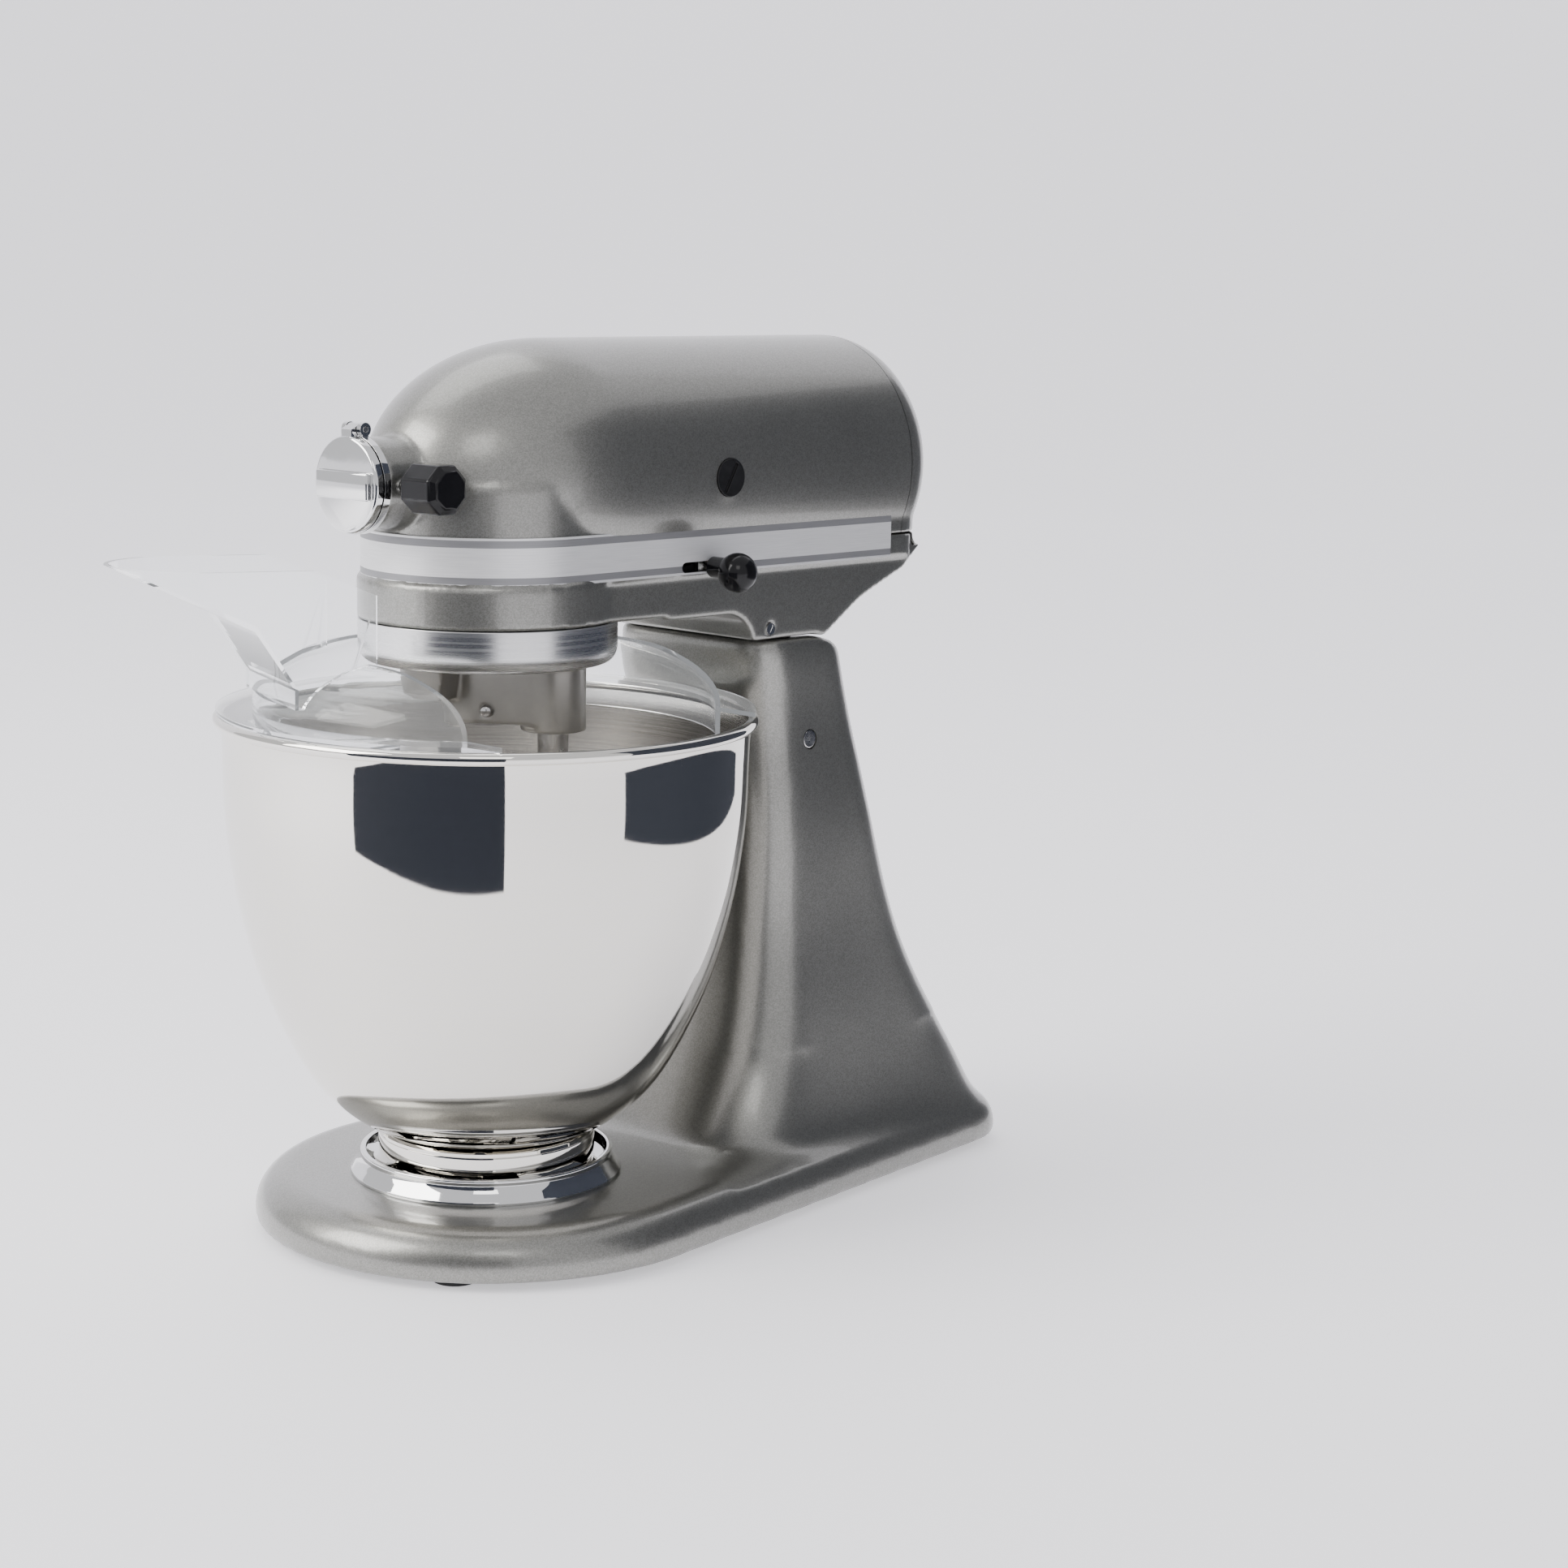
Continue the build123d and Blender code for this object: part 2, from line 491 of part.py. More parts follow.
NECK_Z = COLUMN_TOP + 0.6
INLET = Plane(origin=(BOWL_X + 184, -20, 251.6), x_dir=(0, 1, 0), z_dir=(11, 0, -27))
with BuildPart() as gearcase:
    with BuildSketch(level(BAND_Z0)):
        head_plan(HEAD_HALF)
    extrude(amount=PART_Z - BAND_Z0)
    with BuildSketch(level(DRUM_Z0)):
        Circle(DRUM_R)
    extrude(amount=BAND_Z0 - DRUM_Z0)
    with BuildSketch(side()):
        with BuildLine():
            Polyline((20, BAND_Z0 + 4), (20, DRUM_Z0), (DRUM_R + 1, DRUM_Z0), (DRUM_R + 3, ARM_Z0), (88, ARM_Z0))
            RadiusArc((88, ARM_Z0), (103, NECK_Z), 15)
            Line((103, NECK_Z), (HINGE_X, NECK_Z))
            rest = EAR_SWEEP_R + 0.6
            CenterArc((HINGE_X, HINGE_Z), rest, 90, -12)
            Polyline((HINGE_X + rest * sin(radians(12)), HINGE_Z + rest * cos(radians(12))),
                     (168, 245), (195, 256), (206, BAND_Z0 + 4), (20, BAND_Z0 + 4))
        make_face()
    extrude(amount=ARM_HALF, both=True)
    # room for the gears, and for the motor behind them
    with BuildSketch(level(DRUM_Z0 + FLOOR_T)):
        Circle(HEAD_HALF - 3)
        with Locations((SEAM_X / 2 + 5, 0)):
            Rectangle(SEAM_X - 16, 2 * (ARM_HALF - 3.5))
    extrude(amount=40, mode=Mode.SUBTRACT)
    with BuildSketch(level(BAND_Z0)):
        with Locations((SEAM_X / 2 + 5, 0)):
            Rectangle(SEAM_X + 16, 2 * (HEAD_HALF - 3))
    extrude(amount=40, mode=Mode.SUBTRACT)
    # tongue that reaches down into the column, around the hinge pin
    with BuildSketch(side()):
        with Locations((HINGE_X - TONGUE_R / 2 - 1, (HINGE_Z + TONGUE_TOP) / 2)):
            Rectangle(TONGUE_R - 2, TONGUE_TOP - HINGE_Z)
        with Locations((HINGE_X, HINGE_Z)):
            Circle(TONGUE_R)
    extrude(amount=WELL_HALF - 0.5, both=True)
    with BuildSketch(side()):
        with Locations((HINGE_X, HINGE_Z)):
            Circle(HINGE_R + RUN)
    extrude(amount=60, both=True, mode=Mode.SUBTRACT)
    with BuildSketch(level(DRUM_Z0 - 1)):
        Circle(CENTRE_SHAFT_R + 3)
        with PolarLocations(RING_SCREW_ORBIT, 4, 45):
            Circle(RING_SCREW_R)
    extrude(amount=10, mode=Mode.SUBTRACT)
    add(lever_slots(), mode=Mode.SUBTRACT)
    with BuildSketch(lateral(112.5, -ARM_HALF + 4, 236)):
        Circle(2.4)
    extrude(amount=6, mode=Mode.SUBTRACT)
    with BuildSketch(INLET.offset(-8)):
        Ellipse(6.5, 5)
    extrude(amount=12, mode=Mode.SUBTRACT)
save(gearcase.part, "gearcase")

# Bright band around the casting's joint, with a slot for each lever
with BuildPart() as trim_band:
    with BuildSketch(level(BAND_Z0)):
        Circle(HEAD_HALF + BAND_T)
        with Locations((BAND_END_X / 2, 0)):
            Rectangle(BAND_END_X, 2 * (HEAD_HALF + BAND_T))
        Circle(HEAD_HALF, mode=Mode.SUBTRACT)
        with Locations((BAND_END_X / 2 + 5, 0)):
            Rectangle(BAND_END_X + 10, 2 * HEAD_HALF, mode=Mode.SUBTRACT)
    extrude(amount=BAND_H)
    add(head_form(0, BAND_Z0), mode=Mode.SUBTRACT)
    add(lever_slots(), mode=Mode.SUBTRACT)
save(trim_band.part, "trim_band")

with BuildPart() as drip_ring:
    with BuildSketch(side()):
        with BuildLine():
            Polyline((46.5, DRUM_Z0), (DRUM_R - 0.2, DRUM_Z0), (DRUM_R - 0.2, 236))
            Spline((DRUM_R - 0.2, 236), (49.6, 230.8), (46.0, DRIP_Z0), tangents=((0, -1), (-1, -0.1)))
            Polyline((46.0, DRIP_Z0), (44.6, DRIP_Z0 + 0.4), (44.6, DRIP_Z0 + 2), (46.6, 233), (46.5, DRUM_Z0))
        make_face()
    revolve(axis=BOWL_AXIS)
save(drip_ring.part, "drip_ring")


with BuildPart() as ring_gear:
    with BuildSketch(level(RING_Z0)):
        Circle(RING_OUT_R)
        Polygon(*gear_outline(RING_TEETH, RING_MODULE, -BACKLASH, 1.1, 0.85, BEATER_ANGLE), align=None,
                mode=Mode.SUBTRACT)
        with PolarLocations(RING_SCREW_ORBIT, 4, 45):
            Circle(RING_SCREW_R, mode=Mode.SUBTRACT)
    extrude(amount=RING_T)
save(ring_gear.part, "ring_gear")

with BuildPart() as ring_gear_screws:
    with Locations(level(RING_Z0)):
        with PolarLocations(RING_SCREW_ORBIT, 4, 45):
            Cylinder(RING_SCREW_R, RING_T + FLOOR_T, align=(Align.CENTER, Align.CENTER, Align.MIN))
save(ring_gear_screws.part, "ring_gear_screws")

with BuildPart() as centre_bush:
    with BuildSketch(level(RING_Z0 + RING_T)):
        Circle(CENTRE_SHAFT_R + 3)
        Circle(CENTRE_SHAFT_R + RUN, mode=Mode.SUBTRACT)
    extrude(amount=GEAR_Z0 - RING_Z0 - RING_T - SLACK)
save(centre_bush.part, "centre_bush")

# =====================================================================
# Attachment hub on the nose
# =====================================================================
HINGE_TOP_Z, HINGE_TOP_X, COVER_PIN_R = AXIS_Z + 20.6, -65.4, 1.2
KNUCKLE_HALF, EAR_T = 3.0, 2.2
with BuildPart() as hub_ring:
    with BuildSketch(across(HUB_RING_X - 3, z=AXIS_Z)):
        Circle(HUB_RING_R)
        Circle(HUB_BORE_R, mode=Mode.SUBTRACT)
    extrude(amount=3)
    with BuildSketch(side()):
        with Locations((HINGE_TOP_X, HINGE_TOP_Z)):
            Circle(2.6)
        with Locations((HINGE_TOP_X, HINGE_TOP_Z - 2)):
            Rectangle(2.8, 4)
    extrude(amount=KNUCKLE_HALF + SLACK + EAR_T, both=True)
    with BuildSketch(side()):
        with Locations((HINGE_TOP_X, HINGE_TOP_Z + 4.3)):
            Rectangle(12, 14)
    extrude(amount=KNUCKLE_HALF + SLACK, both=True, mode=Mode.SUBTRACT)
    with BuildSketch(side()):
        with Locations((HINGE_TOP_X, HINGE_TOP_Z)):
            Circle(COVER_PIN_R)
    extrude(amount=10, both=True, mode=Mode.SUBTRACT)
save(hub_ring.part, "hub_ring")

with BuildPart() as hub_cover_pin:
    with BuildSketch(side()):
        with Locations((HINGE_TOP_X, HINGE_TOP_Z)):
            Circle(COVER_PIN_R)
    extrude(amount=KNUCKLE_HALF + SLACK + EAR_T, both=True)
save(hub_cover_pin.part, "hub_cover_pin")

with BuildPart() as hub_cover:
    with BuildSketch(across(HUB_FACE_X, z=AXIS_Z)):
        Circle(COVER_R)
    extrude(amount=COVER_T)
    fillet(hub_cover.edges().group_by(Axis.X)[0], 1.2)
    with BuildSketch(across(HUB_FACE_X, z=AXIS_Z)):
        with Locations((0, -4)):
            Rectangle(26, 2.2)
    extrude(amount=-0.9)
    with BuildSketch(side()):
        with BuildLine():
            Polyline((HUB_FACE_X + 0.6, AXIS_Z + 14), (HUB_FACE_X + 0.6, HINGE_TOP_Z), (HINGE_TOP_X, HINGE_TOP_Z + 2.3),
                     (HINGE_TOP_X, HINGE_TOP_Z - 1.2), (HUB_FACE_X + COVER_T, AXIS_Z + 17.6),
                     (HUB_FACE_X + COVER_T, AXIS_Z + 14), close=True)
        make_face()
        with Locations((HINGE_TOP_X, HINGE_TOP_Z)):
            Circle(2.3)
    extrude(amount=KNUCKLE_HALF, both=True)
    with BuildSketch(side()):
        with Locations((HINGE_TOP_X, HINGE_TOP_Z)):
            Circle(COVER_PIN_R + RUN)
    extrude(amount=10, both=True, mode=Mode.SUBTRACT)
save(hub_cover.part, "hub_cover")

KNOB_Y0, KNOB_L, KNOB_R = -22.0, 21.0, 10.0
with BuildPart() as hub_knob:
    with BuildSketch(lateral(KNOB_X, KNOB_Y0, AXIS_Z)):
        RegularPolygon(KNOB_R, 8, rotation=22.5)
    extrude(amount=KNOB_L)
    chamfer(hub_knob.faces().sort_by(Axis.Y)[0].edges(), 2.6)
    chamfer(hub_knob.faces().sort_by(Axis.Y)[-1].edges(), 3.2)
    with BuildSketch(lateral(KNOB_X, KNOB_Y0, AXIS_Z)):
        Circle(2.5)
    extrude(amount=10, mode=Mode.SUBTRACT)
save(hub_knob.part, "hub_knob")

with BuildPart() as hub_knob_screw:
    with BuildSketch(lateral(KNOB_X, -HUB_BORE_R - 0.4, AXIS_Z)):
        Circle(2.5)
    extrude(amount=-KNOB_Y0 - HUB_BORE_R - 0.4 + 10)
save(hub_knob_screw.part, "hub_knob_screw")

SPINDLE_R, SPINDLE_X0, SPINDLE_X1, SQUARE, SQUARE_DEPTH = 9.0, -41.8, -31.2, 9.6, 9.0
with BuildPart() as hub_bearing:
    with BuildSketch(across(HUB_SHOULDER_X + 1, z=AXIS_Z)):
        Circle(HUB_SEAT_R)
        Circle(SPINDLE_R + RUN, mode=Mode.SUBTRACT)
    extrude(amount=9)
save(hub_bearing.part, "hub_bearing")

PITCH_BEVEL, PITCH_HUB = BEVEL_MODULE * BEVEL_TEETH / 2, BEVEL_MODULE * HUB_TEETH / 2
TOE = 1 - BEVEL_FACE / hypot(PITCH_BEVEL, PITCH_HUB)
with BuildPart() as hub_spindle:
    with BuildSketch(across(SPINDLE_X0, z=AXIS_Z)):
        Circle(SPINDLE_R)
    extrude(amount=SPINDLE_X1 - SPINDLE_X0)
    with BuildSketch(across(SPINDLE_X1, z=AXIS_Z)):
        Circle(5)
    extrude(amount=-PITCH_BEVEL * TOE - SPINDLE_X1)
    with BuildSketch(across(SPINDLE_X0, z=AXIS_Z)):
        Rectangle(SQUARE, SQUARE)
    extrude(amount=SQUARE_DEPTH, mode=Mode.SUBTRACT)
save(hub_spindle.part, "hub_spindle")

with BuildPart() as hub_bevel_gear:
    for scale_now in (1.0, TOE):
        with BuildSketch(across(-PITCH_BEVEL * scale_now, z=AXIS_Z)):
            Polygon(*gear_outline(HUB_TEETH, BEVEL_MODULE * scale_now, 0.25, 0.62, 1.35, -90 + 180 / HUB_TEETH),
                    align=None)
    loft(ruled=True)
    with BuildSketch(across(SPINDLE_X1, z=AXIS_Z)):
        Circle(PITCH_HUB - 2.7)
    extrude(amount=-PITCH_BEVEL - SPINDLE_X1)
    with BuildSketch(across(SPINDLE_X1, z=AXIS_Z)):
        Circle(5)
    extrude(amount=20, mode=Mode.SUBTRACT)
save(hub_bevel_gear.part, "hub_bevel_gear")

# =====================================================================
# Planetary: centre shaft, its gears, the housing and the beater shaft
# =====================================================================
BEVEL_Z = AXIS_Z - PITCH_HUB
MESH_ANGLE = degrees(atan2(WHEEL_Y, WHEEL_X))
PLANET_Z1 = RING_Z0 - 0.8
with BuildPart() as centre_shaft:
    with BuildSketch(level(BOSS_Z0 + 1)):
        Circle(CENTRE_SHAFT_R)
    extrude(amount=AXIS_Z - PITCH_HUB * TOE - BOSS_Z0 - 1.6)
save(centre_shaft.part, "centre_shaft")

with BuildPart() as centre_gear:
    with BuildSketch(level(GEAR_Z0)):
        Polygon(*gear_outline(CENTRE_TEETH, SPUR_MODULE, turn=MESH_ANGLE), align=None)
        Circle(CENTRE_SHAFT_R, mode=Mode.SUBTRACT)
    extrude(amount=GEAR_T)
    with BuildSketch(level(GEAR_Z0 + GEAR_T)):
        Circle(22)
        Circle(13, mode=Mode.SUBTRACT)
    extrude(amount=-2, mode=Mode.SUBTRACT)
save(centre_gear.part, "centre_gear")

with BuildPart() as bevel_gear:
    for scale_now in (1.0, TOE):
        with BuildSketch(level(AXIS_Z - PITCH_HUB * scale_now)):
            Polygon(*gear_outline(BEVEL_TEETH, BEVEL_MODULE * scale_now, 0.25, 0.62, 1.35, 0), align=None)
    loft(ruled=True)
    with BuildSketch(level(BEVEL_Z)):
        Circle(PITCH_BEVEL - 2.6)
    extrude(amount=-5, taper=20)
    with BuildSketch(level(GEAR_Z0 + GEAR_T)):
        Circle(12)
    extrude(amount=BEVEL_Z - 4 - GEAR_Z0 - GEAR_T)
    with BuildSketch(level(GEAR_Z0)):
        Circle(CENTRE_SHAFT_R)
    extrude(amount=60, mode=Mode.SUBTRACT)
save(bevel_gear.part, "bevel_gear")

PIN_ANGLE, PIN_Z, PIN_R = 226.0, 210.5, 2.1
HUB_R = 17.0
PIN_WAY = Vector(cos(radians(PIN_ANGLE)), sin(radians(PIN_ANGLE)), 0)
PIN_PLANE = Plane(origin=Vector(BOWL_X, 0, PIN_Z) + PIN_WAY * (CENTRE_SHAFT_R + 1), z_dir=PIN_WAY)
PIN_L = 12.0
with BuildPart() as planetary_housing:
    with BuildSketch(level(PLANET_Z1)):
        Circle(PLANET_DISC_R)
    extrude(amount=-PLANET_DISC_T)
    fillet(planetary_housing.edges().group_by(Axis.Z)[0], 2)
    # hub and beater boss, joined by a waisted web
    with BuildSketch(level(PLANET_Z1 - PLANET_DISC_T)):
        with BuildLine():
            CenterArc((0, 0), HUB_R, 0, 360)
            CenterArc((BEATER_X, BEATER_Y), BOSS_R, 0, 360)
        make_hull()
    extrude(amount=-(PLANET_Z1 - PLANET_DISC_T - BOSS_Z0 - 3))
    with BuildSketch(level(PLANET_Z1 - PLANET_DISC_T, BEATER_X, BEATER_Y)):
        Circle(BOSS_R)
    extrude(amount=-(PLANET_Z1 - PLANET_DISC_T - BOSS_Z0))
    # counterweight on the far side of the hub
    with BuildSketch(level(PLANET_Z1 - PLANET_DISC_T).rotated((0, 0, BEATER_ANGLE + 180))):
        Circle(35)
        with Locations((-40 + 4, 0)):
            Rectangle(80, 90, mode=Mode.SUBTRACT)
    extrude(amount=-14, taper=8)
    with BuildSketch(level(BOSS_Z0 - 1)):
        Circle(CENTRE_SHAFT_R)
    extrude(amount=50, mode=Mode.SUBTRACT)
    with BuildSketch(level(BOSS_Z0 - 1, BEATER_X, BEATER_Y)):
        Circle(BEATER_R + RUN)
    extrude(amount=50, mode=Mode.SUBTRACT)
    with BuildSketch(PIN_PLANE):
        Circle(PIN_R)
    extrude(amount=PIN_L + 20, mode=Mode.SUBTRACT)
save(planetary_housing.part, "planetary_housing")

with BuildPart() as planetary_pin:
    with BuildSketch(PIN_PLANE):
        Circle(PIN_R)
    extrude(amount=PIN_L)
    chamfer(planetary_pin.edges().filter_by(GeomType.CIRCLE), 0.3)
save(planetary_pin.part, "planetary_pin")

with BuildPart() as beater_shaft:
    with BuildSketch(level(BEATER_TIP_Z, BEATER_X, BEATER_Y)):
        Circle(SPIGOT_R)
    extrude(amount=SPIGOT_L)
    chamfer(beater_shaft.edges().group_by(Axis.Z)[0], 1.0)
    with BuildSketch(level(BEATER_TIP_Z + SPIGOT_L, BEATER_X, BEATER_Y)):
        Circle(BEATER_R)
    extrude(amount=PLANET_Z1 - BEATER_TIP_Z - SPIGOT_L)
    with BuildSketch(level(PLANET_Z1, BEATER_X, BEATER_Y)):
        Circle(4.6)
    extrude(amount=RING_Z0 + RING_T - PLANET_Z1 - SLACK)
    with BuildSketch(lateral(BEATER_X, BEATER_Y + 20, BEATER_PIN_Z)):
        Circle(2.3)
    extrude(amount=40, mode=Mode.SUBTRACT)
save(beater_shaft.part, "beater_shaft")

with BuildPart() as beater_pin:
    with BuildSketch(lateral(BEATER_X, BEATER_Y + 9.2, BEATER_PIN_Z)):
        Circle(2.3)
    extrude(amount=18.4)
    chamfer(beater_pin.edges(), 0.4)
save(beater_pin.part, "beater_pin")

with BuildPart() as planet_pinion:
    with BuildSketch(level(RING_Z0 + SLACK, BEATER_X, BEATER_Y)):
        Polygon(*gear_outline(PLANET_TEETH, RING_MODULE, turn=BEATER_ANGLE), align=None)
        Circle(4.6, mode=Mode.SUBTRACT)
    extrude(amount=RING_T - 2 * SLACK)
save(planet_pinion.part, "planet_pinion")

# =====================================================================
# Worm wheel and pinion on one upright shaft
# =====================================================================
WHEEL_Z0 = AXIS_Z - WHEEL_T / 2
LEAD = pi * WORM_MODULE * WORM_STARTS
GUIDE_Z, GUIDE_T = 307.5, 5.0
with BuildPart() as wheel_shaft:
    with BuildSketch(level(DRUM_Z0 + FLOOR_T + SLACK, WHEEL_X, WHEEL_Y)):
        Circle(4)
    extrude(amount=GUIDE_Z + GUIDE_T - DRUM_Z0 - FLOOR_T)
save(wheel_shaft.part, "wheel_shaft")

with BuildPart() as drive_pinion:
    with BuildSketch(level(GEAR_Z0, WHEEL_X, WHEEL_Y)):
        turn = MESH_ANGLE + 180 + 180 / PINION_TEETH
        Polygon(*gear_outline(PINION_TEETH, SPUR_MODULE, turn=turn), align=None)
        Circle(4, mode=Mode.SUBTRACT)
    extrude(amount=GEAR_T)
save(drive_pinion.part, "drive_pinion")

wheel_twist = degrees(WHEEL_T * (LEAD / (2 * pi * WORM_R)) / WHEEL_R)
with BuildPart(mode=Mode.PRIVATE) as wheel_blank:
    with BuildSketch(level(WHEEL_Z0, WHEEL_X, WHEEL_Y)):
        turn = -90 + 180 / WORM_TEETH - WHEEL_HAND * wheel_twist / 2
        Polygon(*gear_outline(WORM_TEETH, WORM_MODULE, 0.2, 0.85, 1.2, turn), align=None)
with BuildPart() as worm_wheel:
    add(Solid.extrude_linear_with_rotation(wheel_blank.pending_faces[0], level(WHEEL_Z0, WHEEL_X, WHEEL_Y).origin,
                                           (0, 0, WHEEL_T), WHEEL_HAND * wheel_twist))
    with BuildSketch(level(GEAR_Z0 + GEAR_T, WHEEL_X, WHEEL_Y)):
        Circle(7)
    extrude(amount=WHEEL_Z0 - GEAR_Z0 - GEAR_T)
    with BuildSketch(level(GEAR_Z0, WHEEL_X, WHEEL_Y)):
        Circle(4)
    extrude(amount=80, mode=Mode.SUBTRACT)
save(worm_wheel.part, "worm_wheel")

# =====================================================================
# Motor
# =====================================================================
def worm_outline():
    """Cross-section of the worm: one lobe for each start, straight-sided along the axis."""
    pitch = pi * WORM_MODULE
    tip, root = WORM_R + 0.85 * WORM_MODULE, WORM_R - 1.2 * WORM_MODULE
    tip_half = pitch / 4 - 0.85 * WORM_MODULE * tan(PRESSURE) - 0.2
    root_half = pitch / 4 + 1.2 * WORM_MODULE * tan(PRESSURE) - 0.2
    points = []
    for k in range(WORM_STARTS):
        middle = 2 * pi * k / WORM_STARTS - 2 * pi * (WHEEL_X - WORM_X0) / LEAD
        for way in (-1, 1):
            for i in (range(5) if way < 0 else range(4, -1, -1)):
                r = root + (tip - root) * i / 4
                a = middle + way * 2 * pi * (root_half + (tip_half - root_half) * i / 4) / LEAD
                points.append((r * cos(a), r * sin(a)))
        a = middle + pi / WORM_STARTS
        points.append((root * cos(a), root * sin(a)))
    return points


with BuildPart(mode=Mode.PRIVATE) as worm_blank:
    with BuildSketch(across(WORM_X0, z=AXIS_Z)):
        Polygon(*worm_outline(), align=None)
with BuildPart() as armature_shaft:
    with BuildSketch(across(WORM_X0 - 2, z=AXIS_Z)):
        Circle(4.2)
    extrude(amount=WORM_L + 6)
    add(Solid.extrude_linear_with_rotation(worm_blank.pending_faces[0], across(WORM_X0, z=AXIS_Z).origin,
                                           (WORM_L, 0, 0), 360 * WORM_L / LEAD))
    with BuildSketch(across(WORM_X0 + WORM_L, z=AXIS_Z)):
        Circle(SHAFT_R)
    extrude(amount=REAR_BEARING_X + BEARING_L + 2 - WORM_X0 - WORM_L)
save(armature_shaft.part, "armature_shaft")

SLOTS = 12
with BuildPart() as armature_core:
    with BuildSketch(across(CORE_X0, z=AXIS_Z)):
        Circle(CORE_R)
        Circle(SHAFT_R, mode=Mode.SUBTRACT)
        with PolarLocations(CORE_R - 2, SLOTS):
            Rectangle(5, 2.2, mode=Mode.SUBTRACT)
    extrude(amount=CORE_L)
save(armature_core.part, "armature_core")

with BuildPart() as armature_windings:
    for x0, x1 in ((CORE_X0 - 8, CORE_X0), (CORE_X0 + CORE_L, CORE_X0 + CORE_L + 6)):
        with BuildSketch(across(x0, z=AXIS_Z)):
            Circle(CORE_R - 3)
            Circle(SHAFT_R, mode=Mode.SUBTRACT)
        extrude(amount=x1 - x0)
    fillet(armature_windings.edges().filter_by(GeomType.CIRCLE).filter_by(lambda e: e.radius > 10), 2)
save(armature_windings.part, "armature_windings")

with BuildPart() as commutator:
    with BuildSketch(across(COMM_X - COMM_L / 2, z=AXIS_Z)):
        Circle(COMM_R)
        Circle(SHAFT_R, mode=Mode.SUBTRACT)
        with PolarLocations(COMM_R, 24):
            Rectangle(1.6, 0.5, mode=Mode.SUBTRACT)
    extrude(amount=COMM_L)
save(commutator.part, "commutator")

with BuildPart() as cooling_fan:
    with BuildSketch(across(FAN_X, z=AXIS_Z)):
        Circle(FAN_R)
        Circle(SHAFT_R, mode=Mode.SUBTRACT)
    extrude(amount=1.5)
    with BuildSketch(across(FAN_X, z=AXIS_Z)):
        Circle(11)
        Circle(SHAFT_R, mode=Mode.SUBTRACT)
        with PolarLocations((FAN_R + 12) / 2, FAN_BLADES):
            Rectangle(FAN_R - 13, 1.6, rotation=18)
    extrude(amount=FAN_L)
save(cooling_fan.part, "cooling_fan")

STATOR_R, STATOR_FLAT, YOKE = 50.1, 45.0, 9.0
with BuildPart() as stator_core:
    with BuildSketch(across(CORE_X0, z=AXIS_Z)):
        Circle(STATOR_R)
        Rectangle(2 * STATOR_FLAT, 2 * STATOR_R - 0.6, mode=Mode.INTERSECT)
        Circle(STATOR_R - YOKE, mode=Mode.SUBTRACT)
        with BuildLine():
            for way in (0, 180):
                for r in (CORE_R + AIR_GAP, STATOR_R - YOKE + 1):
                    CenterArc((0, 0), r, way - 38, 76)
                for a in (way - 38, way + 38):
                    Line(((CORE_R + AIR_GAP) * cos(radians(a)), (CORE_R + AIR_GAP) * sin(radians(a))),
                         ((STATOR_R - YOKE + 1) * cos(radians(a)), (STATOR_R - YOKE + 1) * sin(radians(a))))
        make_face()
    extrude(amount=CORE_L)
save(stator_core.part, "stator_core")

with BuildPart() as field_coils:
    with BuildSketch(across(CORE_X0 - 9, z=AXIS_Z)):
        for way in (90, 270):
            with Locations((0, (CORE_R + STATOR_R - YOKE) / 2 * (1 if way == 90 else -1))):
                Rectangle(30, STATOR_R - YOKE - CORE_R - 6)
    extrude(amount=CORE_L + 18)
    fillet(field_coils.edges().filter_by(Axis.X), 3)
save(field_coils.part, "field_coils")

with BuildPart() as motor_bearings:
    for x in (FRONT_BEARING_X, REAR_BEARING_X):
        with BuildSketch(across(x, z=AXIS_Z)):
            Circle(BEARING_R)
            Circle(SHAFT_R + RUN, mode=Mode.SUBTRACT)
        extrude(amount=BEARING_L)
save(motor_bearings.part, "motor_bearings")

with BuildPart() as gear_bracket:
    with BuildSketch(across(FRONT_BEARING_X - 0.6, z=DRUM_Z0 + FLOOR_T)):
        with BuildLine():
            top = GUIDE_Z + GUIDE_T - DRUM_Z0 - FLOOR_T
            Polyline((-22, 0), (38, 0), (34, top), (-12, top), (-22, top - 8), close=True)
        make_face()
        with Locations((0, AXIS_Z - DRUM_Z0 - FLOOR_T)):
            Circle(BEARING_R, mode=Mode.SUBTRACT)
    extrude(amount=BEARING_L + 1.2)
    with BuildSketch(level(GUIDE_Z)):
        with Locations(((WHEEL_X - 9 + FRONT_BEARING_X + 4) / 2, WHEEL_Y)):
            Rectangle(FRONT_BEARING_X + 4 - WHEEL_X + 9, 18)
        with Locations((WHEEL_X, WHEEL_Y)):
            Circle(4 + RUN, mode=Mode.SUBTRACT)
    extrude(amount=GUIDE_T)
save(gear_bracket.part, "gear_bracket")

with BuildPart() as motor_end_bracket:
    with BuildSketch(across(REAR_BEARING_X - 0.5, z=AXIS_Z)):
        Circle(STATOR_R)
        Rectangle(2 * STATOR_R, 18, mode=Mode.INTERSECT)
        Circle(BEARING_R + 4)
        Circle(BEARING_R, mode=Mode.SUBTRACT)
    extrude(amount=BEARING_L + 1)
save(motor_end_bracket.part, "motor_end_bracket")

